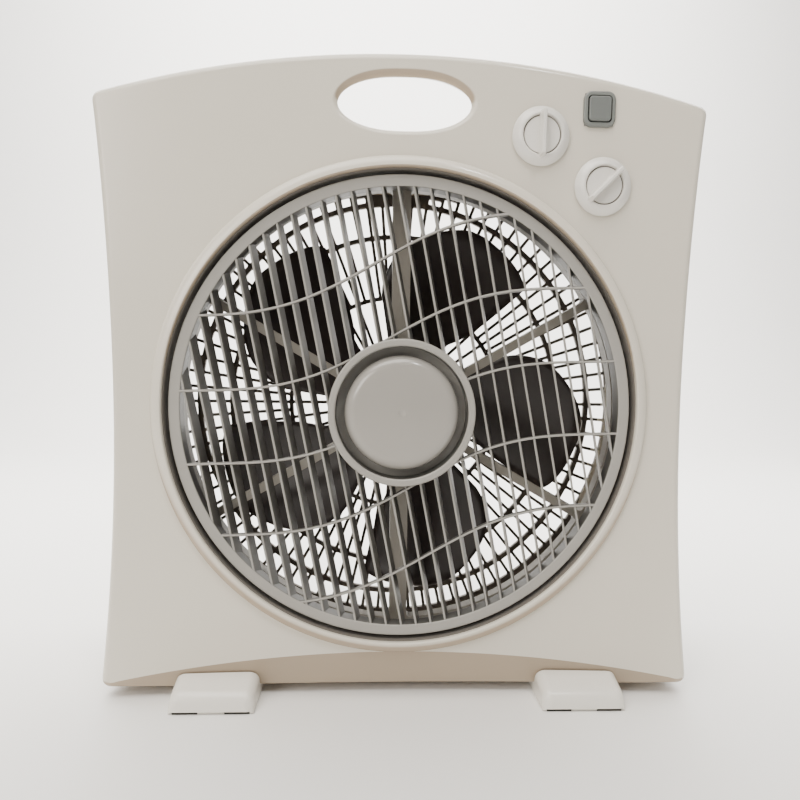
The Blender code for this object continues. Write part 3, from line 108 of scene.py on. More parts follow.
class Finish:
    """A material whose nodes are written as expressions."""

    def __init__(self, name, metallic=0.0, **plain):
        self.material = bpy.data.materials.new(name)
        self.material.use_nodes = True
        self.tree = self.material.node_tree
        self.shader = self.tree.nodes["Principled BSDF"]
        self.shader.inputs["Metallic"].default_value = metallic
        for socket, value in plain.items():
            self.shader.inputs[socket.replace("_", " ")].default_value = value
        self.place = self.node("ShaderNodeTexCoord", output="Object")
        self.normal = self.node("ShaderNodeNewGeometry", output="Normal")
        self.own_normal = self.node("ShaderNodeTexCoord", output="Normal")

    def feed(self, socket, value):
        if isinstance(value, Wire):
            self.tree.links.new(value.socket, socket)
        else:
            socket.default_value = value

    def node(self, kind, settings=None, sockets=None, output=0):
        made = self.tree.nodes.new(kind)
        for name, value in (settings or {}).items():
            setattr(made, name, value)
        for name, value in (sockets or {}).items():
            self.feed(made.inputs[name], value)
        return Wire(self, made.outputs[output])

    def grain(self, scale, detail=2.0, stretch=(1.0, 1.0, 1.0), rough=0.5):
        """Cloudy noise from 0 to 1, with this many lumps in a metre."""
        stretched = self.node("ShaderNodeMapping", None, {"Vector": self.place, "Scale": stretch})
        sockets = {"Vector": stretched, "Scale": scale, "Detail": detail, "Roughness": rough}
        return self.node("ShaderNodeTexNoise", None, sockets, "Fac")

    def step(self, value, low, high):
        """0 below low, 1 above high, smooth between."""
        sockets = {"Value": value, "From Min": low, "From Max": high}
        return self.node("ShaderNodeMapRange", {"interpolation_type": "SMOOTHSTEP"}, sockets)

    def blend(self, share, first, second):
        sockets = {0: share, 6: first, 7: second}
        return self.node("ShaderNodeMix", {"data_type": "RGBA"}, sockets, 2)

    def rise(self, direction):
        """How much of a direction goes along Z."""
        return self.node("ShaderNodeSeparateXYZ", None, {0: direction}, "Z")

    def bump(self, height, size, strength=1.0):
        sockets = {"Height": height, "Distance": size, "Strength": strength}
        self.feed(self.shader.inputs["Normal"], self.node("ShaderNodeBump", None, sockets))

    def done(self, colour, roughness):
        self.feed(self.shader.inputs["Base Color"], colour)
        self.feed(self.shader.inputs["Roughness"], roughness)
        return self.material


def shade(colour, factor):
    return (colour[0] * factor, colour[1] * factor, colour[2] * factor, 1.0)


PALE = (0.84, 0.83, 0.81)
FLOOR_REACH = 9.0
FLOOR_BACK = 1.2
SWEEP_RADIUS = 0.9
SWEEP_HEIGHT = 4.0
tabletop = Finish("tabletop")
clouds = tabletop.grain(6.0, 4.0)
tabletop.bump(tabletop.grain(900.0), 0.0002, 0.15)
tabletop.done(tabletop.blend(clouds, shade(PALE, 0.985), shade(PALE, 1.01)), 0.55 + clouds * 0.08)

bm = bmesh.new()
sweep = [(-FLOOR_REACH, 0.0), (FLOOR_BACK, 0.0)]
for k in range(1, 17):
    turn = math.pi / 2 * k / 16
    sweep.append((FLOOR_BACK + SWEEP_RADIUS * math.sin(turn), SWEEP_RADIUS * (1 - math.cos(turn))))
sweep.append((FLOOR_BACK + SWEEP_RADIUS, SWEEP_HEIGHT))
rows = [[bm.verts.new((side, y, z)) for y, z in sweep] for side in (-FLOOR_REACH, FLOOR_REACH)]
for k in range(len(sweep) - 1):
    bm.faces.new((rows[0][k], rows[1][k], rows[1][k + 1], rows[0][k + 1]))
floor_mesh = bpy.data.meshes.new("tabletop")
bm.to_mesh(floor_mesh)
bm.free()
floor_mesh.shade_smooth()
floor_mesh.materials.append(tabletop.material)
floor = bpy.data.objects.new("tabletop", floor_mesh)
bpy.context.scene.collection.objects.link(floor)

# The viewer's eye is this far from the louvre's middle on the panel, and looks a little down.
EYE = (-0.019, -0.450, 0.029)
EYE_DOWN = 5.98
EYE_RIGHT = 2.31
EYE_LEAN = 0.64
eye = bpy.data.cameras.new("eye")
eye.lens = 30.6
eye.sensor_width = 36.0
eye.shift_y = 0.05
camera = bpy.data.objects.new("eye", eye)
bpy.context.scene.collection.objects.link(camera)
tilt = Matrix.Rotation(math.radians(90 - EYE_DOWN), 4, "X")
swing = Matrix.Rotation(math.radians(-EYE_RIGHT), 4, "Z")
lean = Matrix.Rotation(math.radians(EYE_LEAN), 4, "Z")
stands = Matrix.Translation((EYE[0], panel_plane + EYE[1], axis_up + EYE[2]))
camera.matrix_world = stands @ swing @ tilt @ lean
bpy.context.scene.camera = camera

room = bpy.data.worlds.new("room")
room.use_nodes = True
glow = room.node_tree.nodes["Background"].inputs
glow["Color"].default_value = (1.0, 0.97, 0.92, 1.0)
glow["Strength"].default_value = 0.30
bpy.context.scene.world = room


def lamp(name, place, aim, size, power, colour=(1.0, 1.0, 1.0)):
    """A square soft lamp that points at a place."""
    light = bpy.data.lights.new(name, "AREA")
    light.size = size
    light.energy = power
    light.color = colour
    made = bpy.data.objects.new(name, light)
    made.location = place
    made.rotation_euler = (Vector(aim) - Vector(place)).to_track_quat("-Z", "Y").to_euler()
    bpy.context.scene.collection.objects.link(made)


lamp("overhead", (-0.3, -0.6, 1.8), (0.0, 0.0, 0.2), 1.3, 40.0, (1.0, 0.95, 0.875))
lamp("front_left", (-1.2, -1.6, 1.0), (0.0, 0.0, 0.2), 0.9, 21.0, (1.0, 0.95, 0.88))
lamp("glint", (0.45, -1.0, 1.5), (0.0, 0.0, 0.25), 0.12, 5.0)
lamp("backdrop", (0.0, 0.9, 1.6), (0.0, 2.1, 0.4), 2.4, 170.0, (1.0, 0.985, 0.96))


# --- Front shell ----------------------------------------------------------------------
# The front half of the case, moulded in glossy ivory ABS: waisted sides, an arched top with a
# grip hole, a raised bezel round the louvre and a chin that slopes back under it. A thin dark ring
# lines the duct behind the bezel as painted shade, the chin and other faces that look down are
# painted darker as shade, and four screws from the rear hold the back half on.
WAIST = 0.3788
WAIST_HEIGHT = 0.225
SIDE_RADIUS_ABOVE = 2.02
SIDE_RADIUS_BELOW = 1.63
ARCH_RADIUS = 0.694
CORNER_ROUND = 0.007
WALL = 0.0025
BODY_BOTTOM = 0.008
CHIN_HEIGHT = 0.0255
CHIN_SETBACK = 0.008
CHIN_RADIUS = 0.907
CHIN_REACH = 0.284
BEZEL_OUTER = 0.1645
BEZEL_INNER = 0.1565
BEZEL_HEIGHT = 0.0055
SPLIT = 0.066
HANDLE_WIDTH = 0.0856
HANDLE_HEIGHT = 0.0332
HANDLE_FLARE = 0.0042
HANDLE_DROP = 0.0304
GRIP_DEPTH = 0.016
RECESS_MARGIN = 0.022
RECESS_CORNER = 0.012
RECESS_LIP = 0.0016
SHAFT_HOLE = 0.0036
SWITCH_OPENING = (0.0187, 0.020)
SHADE_RING_THICKNESS = 0.0008
FOLD_CREASE = 16.5
top_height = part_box("front_shell")[1].z
handle_centre = top_height - HANDLE_DROP
recess_floor = handle_centre - HANDLE_HEIGHT / 2 - HANDLE_FLARE - RECESS_LIP


def mesh_of(bm):
    bmesh.ops.recalc_face_normals(bm, faces=bm.faces)
    mesh = bpy.data.meshes.new("shape")
    bm.to_mesh(mesh)
    bm.free()
    return mesh


def plate(outlines, back, front):
    """A flat piece filled between closed outlines; the inner ones are holes."""
    curve = bpy.data.curves.new("plate", "CURVE")
    curve.dimensions = "2D"
    curve.fill_mode = "BOTH"
    curve.extrude = (front - back) / 2
    for outline in outlines:
        spline = curve.splines.new("POLY")
        spline.points.add(len(outline) - 1)
        for point, (x, up) in zip(spline.points, outline):
            point.co = (x, up, 0.0, 1.0)
        spline.use_cyclic_u = True
    holder = bpy.data.objects.new("plate", curve)
    bpy.context.scene.collection.objects.link(holder)
    graph = bpy.context.evaluated_depsgraph_get()
    mesh = bpy.data.meshes.new_from_object(holder.evaluated_get(graph))
    bpy.data.objects.remove(holder)
    bm = bmesh.new()
    bm.from_mesh(mesh)
    bmesh.ops.remove_doubles(bm, verts=bm.verts, dist=1e-6)
    if len(outlines) == 1:
        bmesh.ops.dissolve_limit(bm, angle_limit=0.001, verts=bm.verts, edges=bm.edges)
    bmesh.ops.translate(bm, verts=bm.verts, vec=(0.0, 0.0, (front + back) / 2))
    return mesh_of(bm)


def circle(radius, count):
    turns = [2 * math.pi * k / count for k in range(count)]
    return [(radius * math.cos(a), radius * math.sin(a)) for a in turns]


def turned(profile, steps, closed=False):
    """A round piece from points (radius, out), turned about the axis."""
    bm = bmesh.new()
    rings = []
    for radius, out in profile:
        if radius < 1e-7:
            rings.append([bm.verts.new((0.0, 0.0, out))] * steps)
            continue
        rings.append([bm.verts.new((x, up, out)) for x, up in circle(radius, steps)])
    pairs = list(zip(rings, rings[1:]))
    if closed:
        pairs.append((rings[-1], rings[0]))
    for upper, lower in pairs:
        for k in range(steps):
            after = (k + 1) % steps
            corners = list(dict.fromkeys((upper[k], lower[k], lower[after], upper[after])))
            if len(corners) > 2:
                bm.faces.new(corners)
    return mesh_of(bm)


def block(bm, size, centre):
    made = bmesh.ops.create_cube(bm, size=1.0)["verts"]
    bmesh.ops.scale(bm, verts=made, vec=size)
    bmesh.ops.translate(bm, verts=made, vec=centre)
    return made


def bars(places, radius, back, front, segments=24):
    """Round bars along the out direction."""
    bm = bmesh.new()
    for x, up in places:
        place = Matrix.Translation((x, up, (front + back) / 2))
        sizes = {"segments": segments, "radius1": radius, "radius2": radius, "depth": front - back}
        bmesh.ops.create_cone(bm, cap_ends=True, matrix=place, **sizes)
    return mesh_of(bm)


def worked(mesh, *steps):
    """Joins or cuts other meshes, in order, and gives the finished mesh."""
    holders = [bpy.data.objects.new("work", mesh)]
    bpy.context.scene.collection.objects.link(holders[0])
    for operation, other in steps:
        holder = bpy.data.objects.new("tool", other)
        bpy.context.scene.collection.objects.link(holder)
        boolean = holders[0].modifiers.new("work", "BOOLEAN")
        boolean.operation = operation
        boolean.object = holder
        boolean.solver = "EXACT"
        holders.append(holder)
    graph = bpy.context.evaluated_depsgraph_get()
    result = bpy.data.meshes.new_from_object(holders[0].evaluated_get(graph))
    for holder in holders:
        bpy.data.objects.remove(holder)
    return result


def fit(name, mesh, place, body, material, slot, *nodes, angle=32.0, edge=0.0):
    """Puts a finished piece on the fan in place of its CAD nodes."""
    mesh.materials.clear()
    mesh.materials.append(material)
    mesh.shade_smooth()
    mesh.set_sharp_from_angle(angle=math.radians(angle))
    piece = bpy.data.objects.new(name, mesh)
    bpy.context.scene.collection.objects.link(piece)
    piece.matrix_world = place
    if edge:
        soften = piece.modifiers.new("edges", "BEVEL")
        soften.width = edge
        soften.segments = 2
        soften.limit_method = "ANGLE"
        soften.angle_limit = math.radians(40)
    even = piece.modifiers.new("even", "WEIGHTED_NORMAL")
    even.keep_sharp = True
    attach(piece, body)
    if nodes:
        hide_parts(*nodes)
    return piece


def half_width(up):
    radius = SIDE_RADIUS_ABOVE if up > WAIST_HEIGHT else SIDE_RADIUS_BELOW
    return WAIST / 2 + (up - WAIST_HEIGHT) ** 2 / (2 * radius)


def arch_height(x):
    return top_height - ARCH_RADIUS + math.sqrt(ARCH_RADIUS**2 - x**2)


def inset(points, distance):
    moved = []
    for k, here in enumerate(points):
        before = (Vector(here) - Vector(points[k - 1])).normalized()
        after = (Vector(points[(k + 1) % len(points)]) - Vector(here)).normalized()
        along = (before + after).normalized()
        moved.append(Vector(here) + Vector((-along.y, along.x)) * distance / along.dot(after))
    return moved


def rounded(points, radius, count=7):
    """Replaces each sharp corner of a closed outline by an arc."""
    result = []
    for k, here in enumerate(points):
        before = (Vector(here) - Vector(points[k - 1])).normalized()
        after = (Vector(points[(k + 1) % len(points)]) - Vector(here)).normalized()
        turn = before.angle_signed(after)
        if abs(turn) < math.radians(25):
            result.append(Vector(here))
            continue
        reach = radius * math.tan(abs(turn) / 2)
        start = Vector(here) - before * reach
        end = Vector(here) + after * reach
        for step in range(count + 1):
            share = step / count
            result.append(start.lerp(Vector(here), share).lerp(Vector(here).lerp(end, share), share))
    return result


def case_outline(inward=0.0):
    corner = half_width(arch_height(WAIST / 2))
    top = arch_height(corner)
    right = []
    for k in range(28):
        up = BODY_BOTTOM + (top - BODY_BOTTOM) * k / 28
        right.append((half_width(up), up))
    points = right + [(x, arch_height(x)) for x in (corner - 2 * corner * k / 48 for k in range(49))]
    points += [(-x, up) for x, up in reversed(right)]
    return rounded(inset(points, inward), max(CORNER_ROUND - inward, 0.001))


def strand(bm, sections):
    """Skins a row of closed sections and caps its ends."""
    rings = [[bm.verts.new(point) for point in section] for section in sections]
    count = len(rings[0])
    for first, second in zip(rings, rings[1:]):
        for k in range(count):
            after = (k + 1) % count
            bm.faces.new((first[k], first[after], second[after], second[k]))
    bm.faces.new(rings[0])
    bm.faces.new(rings[-1][::-1])


def case_block(front, front_round, back, back_round, inward=0.0):
    """A slab of the case's outline, with its front and back edges rounded."""
    levels = []
    for rim, radius, away in ((front, front_round, -1), (back, back_round, 1)):
        turns = [math.pi / 2 * k / 6 for k in range(7)] if radius else [math.pi / 2]
        edge = [(radius * (1 - math.sin(a)), rim + away * radius * (1 - math.cos(a))) for a in turns]
        levels += edge if away < 0 else edge[::-1]
    bm = bmesh.new()
    strand(bm, [[(x, up, out) for x, up in case_outline(inward + deep)] for deep, out in levels])
    return mesh_of(bm)


def chin(shift):
    """The space in front of the chin; shift moves it out."""
    slope = CHIN_HEIGHT / CHIN_SETBACK
    bm = bmesh.new()
    rows = []
    for out in (0.02, -0.03):
        row = []
        for k in range(61):
            x = CHIN_REACH * (k / 30 - 1)
            fold = BODY_BOTTOM + CHIN_HEIGHT - x * x / (2 * CHIN_RADIUS)
            row.append(bm.verts.new((x, fold + out * slope, out + shift)))
        row += [bm.verts.new((x, -0.15, out + shift)) for x in (CHIN_REACH, -CHIN_REACH)]
        rows.append(row)
    for k in range(len(rows[0])):
        after = (k + 1) % len(rows[0])
        bm.faces.new((rows[0][k], rows[0][after], rows[1][after], rows[1][k]))
    bm.faces.new(rows[0])
    bm.faces.new(rows[1][::-1])
    return mesh_of(bm)


def handle_outline(extra):
    """A lens with blunt ends."""
    points = []
    for k in range(72):
        turn = 2 * math.pi * k / 72
        across = math.copysign(abs(math.cos(turn)) ** 0.8, math.cos(turn))
        rise = math.copysign(abs(math.sin(turn)) ** 1.1, math.sin(turn))
        half_up = HANDLE_HEIGHT / 2 + extra
        points.append(((HANDLE_WIDTH / 2 + extra) * across, handle_centre + half_up * rise))
    return points


def hand_recess(extra):
    """The room behind the grip, open at the top and the rear."""
    half = HANDLE_WIDTH / 2 + RECESS_MARGIN + extra
    radius = RECESS_CORNER + extra
    low = recess_floor - extra
    points = [(half, top_height + 0.05), (-half, top_height + 0.05)]
    for side in (-1, 1):
        for step in range(9):
            turn = math.pi / 2 * (step if side < 0 else 8 - step) / 8
            x = side * (half - radius + radius * math.cos(turn))
            points.append((x, low + radius - radius * math.sin(turn)))
    return plate([points], -depth - 0.01, -GRIP_DEPTH + extra)


def handle_bore():
    """The handle's hole: a rounded lip in front, then wider again towards the rear."""
    wide = HANDLE_FLARE * 1.1
    sections = [(wide, 0.01), (wide, HANDLE_FLARE * 0.01)]
    for step in range(1, 9):
        turn = math.pi / 2 * step / 8
        sections.append((HANDLE_FLARE * (1 - math.sin(turn)), -HANDLE_FLARE * (1 - math.cos(turn))))
    sections += [(HANDLE_FLARE * 1.05, -GRIP_DEPTH), (wide, -GRIP_DEPTH - 0.01)]
    bm = bmesh.new()
    rings = [[bm.verts.new((x, up, out)) for x, up in handle_outline(grow)] for grow, out in sections]
    for upper, lower in zip(rings, rings[1:]):
        for k in range(72):
            after = (k + 1) % 72
            bm.faces.new((upper[k], upper[after], lower[after], lower[k]))
    bm.faces.new(rings[0])
    bm.faces.new(rings[-1][::-1])
    return mesh_of(bm)


def raised(mesh, up):
    mesh.transform(Matrix.Translation((0.0, up, 0.0)))
    return mesh


def moulded(
    name, colour, gloss, mottle=0.03, texture=0.2, grit=1500.0, dust=0.0, side_shade=0.0, shade_below=None, **plain
):
    """Moulded plastic: faint flow clouds, a fine pebbled skin, light scuffs and dust on top.

    The sides of thin bars are darkened as painted shade, and faces that look down turn to a painted shade
    colour."""
    finish = Finish(name, **plain)
    clouds = finish.grain(11.0, 4.0)
    skin = finish.grain(grit, 2.0)
    flow = finish.grain(5.0, 3.0, (1.0, 9.0, 1.0))
    scuffs = finish.step(finish.grain(60.0, 5.0, (1.0, 22.0, 1.0), 0.7), 0.66, 0.78)
    tone = finish.blend(clouds * 0.6 + flow * 0.4, shade(colour, 1 - mottle), shade(colour, 1 + mottle))
    tone = finish.blend(scuffs * 0.10, tone, shade(colour, 0.6))
    rough = gloss + clouds * 0.06 + skin * 0.05 + scuffs * 0.12
    if dust:
        specks = 0.35 + 0.65 * finish.grain(240.0, 4.0)
        settled = finish.step(finish.rise(finish.normal), 0.35, 0.95) * specks
        tone = finish.blend(settled * dust, tone, (0.45, 0.42, 0.38, 1.0))
        rough = rough + settled * 0.3 * dust
    # Painted shade: faces that look sideways, such as the sides of slats, are darkened.
    if side_shade:
        sideways = 1 - finish.step(finish.rise(finish.own_normal), 0.15, 0.75)
        tone = finish.blend(sideways * side_shade, tone, shade(colour, 0.28))
    # Painted shade: faces that look down turn to a darker, warmer shade colour.
    if shade_below:
        downward = finish.step(0 - finish.rise(finish.normal), 0.04, 0.30)
        tone = finish.blend(downward, tone, (*shade_below, 1.0))
    finish.bump(skin + flow * 0.6, 0.00012, texture)
    return finish.done(tone, rough)


IVORY = (0.65, 0.608, 0.525)
# The painted shade colour that the case's downward faces, such as the chin, turn to.
SHADED_IVORY = (0.38, 0.305, 0.225)
ivory = moulded("ivory_abs", IVORY, 0.13, 0.02, 0.16, 1100.0, 0.10, shade_below=SHADED_IVORY)

hollow = case_block(-WALL, 0.0025, -SPLIT - 0.01, 0.0, WALL)
slope_length = math.hypot(CHIN_HEIGHT, CHIN_SETBACK)
hollow = worked(
    hollow,
    ("DIFFERENCE", chin(-WALL * slope_length / CHIN_HEIGHT)),
    ("DIFFERENCE", hand_recess(WALL)),
    ("DIFFERENCE", plate([handle_outline(0.0022)], -GRIP_DEPTH - 0.01, 0.01)),
)
duct_outer = BEZEL_INNER + 0.0025
duct_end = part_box("louver_spider")[0].y - panel_plane - 0.0003
crest = BEZEL_INNER + 0.0010
bezel = [(crest - 0.0007, BEZEL_HEIGHT - 0.0004), (crest - 0.0003, BEZEL_HEIGHT - 0.0001)]
for k in range(11):
    turn = math.pi / 2 * k / 10
    bezel.append((crest + (BEZEL_OUTER - crest) * math.sin(turn), BEZEL_HEIGHT * math.cos(turn)))
bezel += [(BEZEL_OUTER, -WALL / 2), (duct_outer, -WALL / 2), (duct_outer, -duct_end)]
bezel += [(BEZEL_INNER, -duct_end), (BEZEL_INNER, BEZEL_HEIGHT - 0.0012)]


def centre_of(node):
    low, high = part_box(node)
    return ((low.x + high.x) / 2, (low.z + high.z) / 2)


speed_at = centre_of("speed_knob")
timer_at = centre_of("timer_shaft")
button_at = centre_of("louver_switch")
bm = bmesh.new()
block(bm, (*SWITCH_OPENING, 0.03), (*button_at, 0.0))
switch_opening = mesh_of(bm)
front_shell = worked(
    case_block(0.0, 0.005, -SPLIT, 0.0005),
    ("DIFFERENCE", hollow),
    ("DIFFERENCE", chin(0.0)),
    ("DIFFERENCE", raised(plate([circle(BEZEL_INNER + 0.00125, 144)], -0.01, 0.01), axis_up)),
    ("DIFFERENCE", hand_recess(0.0)),
    ("DIFFERENCE", handle_bore()),
    ("DIFFERENCE", bars([speed_at, timer_at], SHAFT_HOLE, -0.01, 0.01)),
    ("DIFFERENCE", switch_opening),
    ("UNION", raised(turned(bezel, 144, closed=True), axis_up)),
)
fit("case_front", front_shell, face, "case", ivory, "panel_ivory", "front_shell", angle=FOLD_CREASE)
# A thin dark ring lining the duct behind the bezel: painted shade in the groove round the louvre.
duct_shade = moulded("duct_painted_shade", (0.12, 0.108, 0.094), 0.85, 0.25, 0.8, 2600.0)
shade_ring = [(BEZEL_INNER - 0.0001, BEZEL_HEIGHT - 0.0032), (BEZEL_INNER - 0.0001, -duct_end + 0.0004)]
shade_ring += [(BEZEL_INNER - SHADE_RING_THICKNESS, -duct_end + 0.0004), (BEZEL_INNER - SHADE_RING_THICKNESS, BEZEL_HEIGHT - 0.0036)]
fit("duct_shade_ring", turned(shade_ring, 144, closed=True), on_axis, "case", duct_shade, "pad_rubber")


# --- Rear shell -------------------------------------------------------------------------
# The back half of the case, moulded in the same ivory ABS. Its rear wall is the intake grille:
# thin ribs between round rings, half as many in the innermost, and a plain boss for the motor.
# The sides of the slots and the grille's inner face are painted dark as shade.
RIBS = 84
RIB_WIDTH = 0.0025
RINGS = ((0.0885, 0.003), (0.1385, 0.0035), (0.1655, 0.004))
SLOT_END = 0.1820
BOSS_RADIUS = 0.046
REAR_WALL = 0.004
SCREW_POST = 0.0045
SCREW_HEAD_HOLE = 0.0033
GLAND_HOLE = 0.0063


def slot_outline(inner, outer, middle, step):
    """A slot between two ribs, with rounded ends."""
    corners = []
    for radius in (outer, inner):
        half = step / 2 - math.asin(RIB_WIDTH / 2 / radius)
        turns = (middle - half, middle + half) if radius == outer else (middle + half, middle - half)
        corners += [(radius * math.cos(a), radius * math.sin(a)) for a in turns]
    return rounded(corners, 0.0009, 2)


def rear_slots():
    edges = [BOSS_RADIUS]
    for radius, width in RINGS:
        edges += [radius - width / 2, radius + width / 2]
    edges.append(SLOT_END)
    highest = recess_floor - WALL - axis_up - 0.002
    bm = bmesh.new()
    for band, (inner, outer) in enumerate(zip(edges[::2], edges[1::2])):
        count = RIBS // 2 if band == 0 else RIBS
        step = 2 * math.pi / count
        for k in range(count):
            middle = (k + 0.5) * step
            lean = abs(middle - math.pi / 2) - step / 2
            end = min(outer, highest / math.cos(max(lean, 0.0))) if lean < 0.6 else outer
            if end - inner < 0.004:
                continue
            outline = slot_outline(inner, end, middle, step)
            ring = [bm.verts.new((x, up + axis_up, -depth + REAR_WALL + 0.003)) for x, up in outline]
            grown = bmesh.ops.extrude_face_region(bm, geom=[bm.faces.new(ring)])["geom"]
            lower = [item for item in grown if isinstance(item, bmesh.types.BMVert)]
            bmesh.ops.translate(bm, verts=lower, vec=(0.0, 0.0, -0.012))
    return mesh_of(bm)


rear_front = -SPLIT - 0.0003
hollow = worked(
    case_block(rear_front + 0.01, 0.0, -depth + REAR_WALL, 0.0, WALL),
    ("DIFFERENCE", hand_recess(WALL)),
)
rear_screws = [centre_of(f"shell_screw_{k}") for k in (1, 2, 3, 4)]
gland_at = centre_of("cord_gland")
rear_shell = worked(
    case_block(rear_front, 0.0005, -depth, 0.004),
    ("DIFFERENCE", hollow),
    ("DIFFERENCE", hand_recess(0.0)),
    ("UNION", bars(rear_screws, SCREW_POST, -depth + 0.002, rear_front)),
    ("DIFFERENCE", bars(rear_screws, SCREW_HEAD_HOLE, -depth - 0.01, -SPLIT - 0.012)),
    ("DIFFERENCE", bars([gland_at], GLAND_HOLE, -depth - 0.01, -depth + 0.01)),
    ("DIFFERENCE", rear_slots()),
)
fit("case_rear", rear_shell, face, "case", ivory, "panel_ivory", "rear_shell", angle=28.0)
# Painted shade: a dark colour for the grille's inner face and the sides of its slots.
grille_shade = moulded("grille_painted_shade", (0.085, 0.072, 0.060), 0.6, 0.2, 0.5, 1600.0)
rear_shell.materials.append(grille_shade)
for polygon in rear_shell.polygons:
    reach = math.hypot(polygon.center.x, polygon.center.y - axis_up)
    if reach < SLOT_END + 0.0005 and -depth + 0.0012 < polygon.center.z < -depth + REAR_WALL + 0.0005:
        polygon.material_index = 1


# --- Louvre -------------------------------------------------------------------------------
# A round grille of slanted slats in satin grey plastic, moulded in one with its rim, five
# wavy ties and a raised hub ring. It turns slowly on the shaft of its own small motor.
LOUVER_RADIUS = (grille_high.x - grille_low.x) / 2 + 0.0006
RIM_WIDTH = 0.0075
LOUVER_DEPTH = 0.012
HUB_RING = 0.0485
HUB_RING_WIDTH = 0.0048
HUB_RISE = 0.008
HUB_EDGE = 0.0014
HUB_FLOOR = -0.0085
HUB_BORE = 0.0038
SLAT_PITCH = 0.0101
SLAT_THICKNESS = 0.0016
SLAT_LEAN = 14.0
SLATS = 28
TIE_SPACING = 0.0492
TIE_SLOPE = 0.09
TIE_SWING = 0.0102
TIE_WAVE = 0.25
LOUVER_TURN = 11.0
on_louver = on_axis @ Matrix.Rotation(math.radians(LOUVER_TURN), 4, "Z")


def wave(x):
    """How high a tie stands at x."""
    return TIE_SLOPE * x + TIE_SWING * math.sin(2 * math.pi * x / TIE_WAVE)


def crossing(offset, side, radius):
    """Where a tie reaches this radius."""
    near, far = (0.0, side * radius)
    for _ in range(40):
        middle = (near + far) / 2
        if math.hypot(middle, offset + wave(middle)) < radius:
            near = middle
        else:
            far = middle
    return near


def slat_section():
    """A slat cut across: round front edge, slimmer rear edge, slanted to one side."""
    half = SLAT_THICKNESS / 2
    front = -0.0005
    back = -LOUVER_DEPTH + 0.0006
    points = []
    for k in range(7):
        turn = math.pi * k / 6
        points.append((half * math.cos(turn), front - half + half * math.sin(turn)))
    points += [(-half * 0.7, back + 0.0003), (-half * 0.35, back)]
    points += [(half * 0.35, back), (half * 0.7, back + 0.0003)]
    lean = math.tan(math.radians(SLAT_LEAN))
    return [(x - lean * (out + LOUVER_DEPTH / 2), out) for x, out in points]


bm = bmesh.new()
rim_middle = LOUVER_RADIUS - RIM_WIDTH / 2
hub_middle = HUB_RING - HUB_RING_WIDTH / 2
for k in range(SLATS):
    x = (k - SLATS / 2 + 0.5) * SLAT_PITCH
    end = math.sqrt(rim_middle**2 - x**2)
    spans = [(-end, end)]
    if abs(x) < hub_middle - 0.001:
        start = math.sqrt(hub_middle**2 - x**2)
        spans = [(start, end), (-end, -start)]
    for low, high in spans:
        strand(bm, [[(x + dx, up, out) for dx, out in slat_section()] for up in (low, high)])
tie_section = [(-0.0009, -0.0035), (-0.0009, -0.0008), (-0.0006, -0.0003), (0.0, -0.0001)]
tie_section += [(0.0006, -0.0003), (0.0009, -0.0008), (0.0009, -0.0035)]
for k in range(-2, 3):
    offset = k * TIE_SPACING
    left = crossing(offset, -1, rim_middle)
    right = crossing(offset, 1, rim_middle)
    spans = [(left, right)]
    if k == 0:
        spans = [(left, crossing(0.0, -1, hub_middle)), (crossing(0.0, 1, hub_middle), right)]
    for low, high in spans:
        sections = []
        for step in range(49):
            x = low + (high - low) * step / 48
            slope = math.atan((wave(x + 0.0005) - wave(x - 0.0005)) / 0.001)
            across = Vector((-math.sin(slope), math.cos(slope)))
            centre = Vector((x, offset + wave(x)))
            sections.append([(*(centre + across * side), out) for side, out in tie_section])
        strand(bm, sections)
inner = LOUVER_RADIUS - RIM_WIDTH
rim = [(inner, 0.0), (LOUVER_RADIUS, 0.0), (LOUVER_RADIUS, -LOUVER_DEPTH), (inner, -LOUVER_DEPTH)]
bm.from_mesh(turned(rounded(rim, 0.0011, 4), 160, closed=True))
hub_inner = HUB_RING - HUB_RING_WIDTH
hub = [(hub_inner + 0.0008, HUB_RISE)]
for turn in (0.0, 0.4, 0.8, 1.2, 1.57):
    hub.append((HUB_RING - HUB_EDGE * (1 - math.sin(turn)), HUB_RISE - HUB_EDGE * (1 - math.cos(turn))))
hub += [(HUB_RING, -LOUVER_DEPTH), (HUB_BORE, -LOUVER_DEPTH), (HUB_BORE, HUB_FLOOR)]
hub += [(hub_inner, HUB_FLOOR), (hub_inner, HUB_RISE - 0.0008)]
bm.from_mesh(turned(hub, 96, closed=True))
# The sides of the slats are darkened as painted shade.
grey = moulded("louver_satin", (0.312, 0.300, 0.276), 0.30, 0.03, 0.12, 1500.0, 0.15, side_shade=1.0)
fit("louver", mesh_of(bm), on_louver, "louver", grey, "louver_grey", "louver_grille")


# --- Louvre cap ---------------------------------------------------------------------------
# A glossy grey dome that snaps into the hub ring and hides the shaft's end. A faint gate
# mark stands in its middle.
CAP_RADIUS = 0.038
CAP_RISE = 0.009
CAP_EDGE = 0.008
CAP_FALL = 0.0008
CAP_WALL = 0.002
CAP_BACK = -0.0082
GATE_MARK = 0.0027
cap_flat = CAP_RADIUS - CAP_EDGE
dome = [(0.0, CAP_RISE - 0.0003), (GATE_MARK - 0.0005, CAP_RISE - 0.0003), (GATE_MARK, CAP_RISE)]
for k in range(1, 7):
    radius = GATE_MARK + (cap_flat - GATE_MARK) * k / 6
    dome.append((radius, CAP_RISE - CAP_FALL * (radius / cap_flat) ** 2))
for k in range(1, 11):
    turn = math.pi / 2 * k / 10
    out = CAP_RISE - CAP_FALL - CAP_EDGE * (1 - math.cos(turn))
    dome.append((cap_flat + CAP_EDGE * math.sin(turn), out))
dome += [(CAP_RADIUS, CAP_BACK), (CAP_RADIUS - CAP_WALL, CAP_BACK)]
dome += [(CAP_RADIUS - CAP_WALL, -0.001), (0.0, 0.005)]
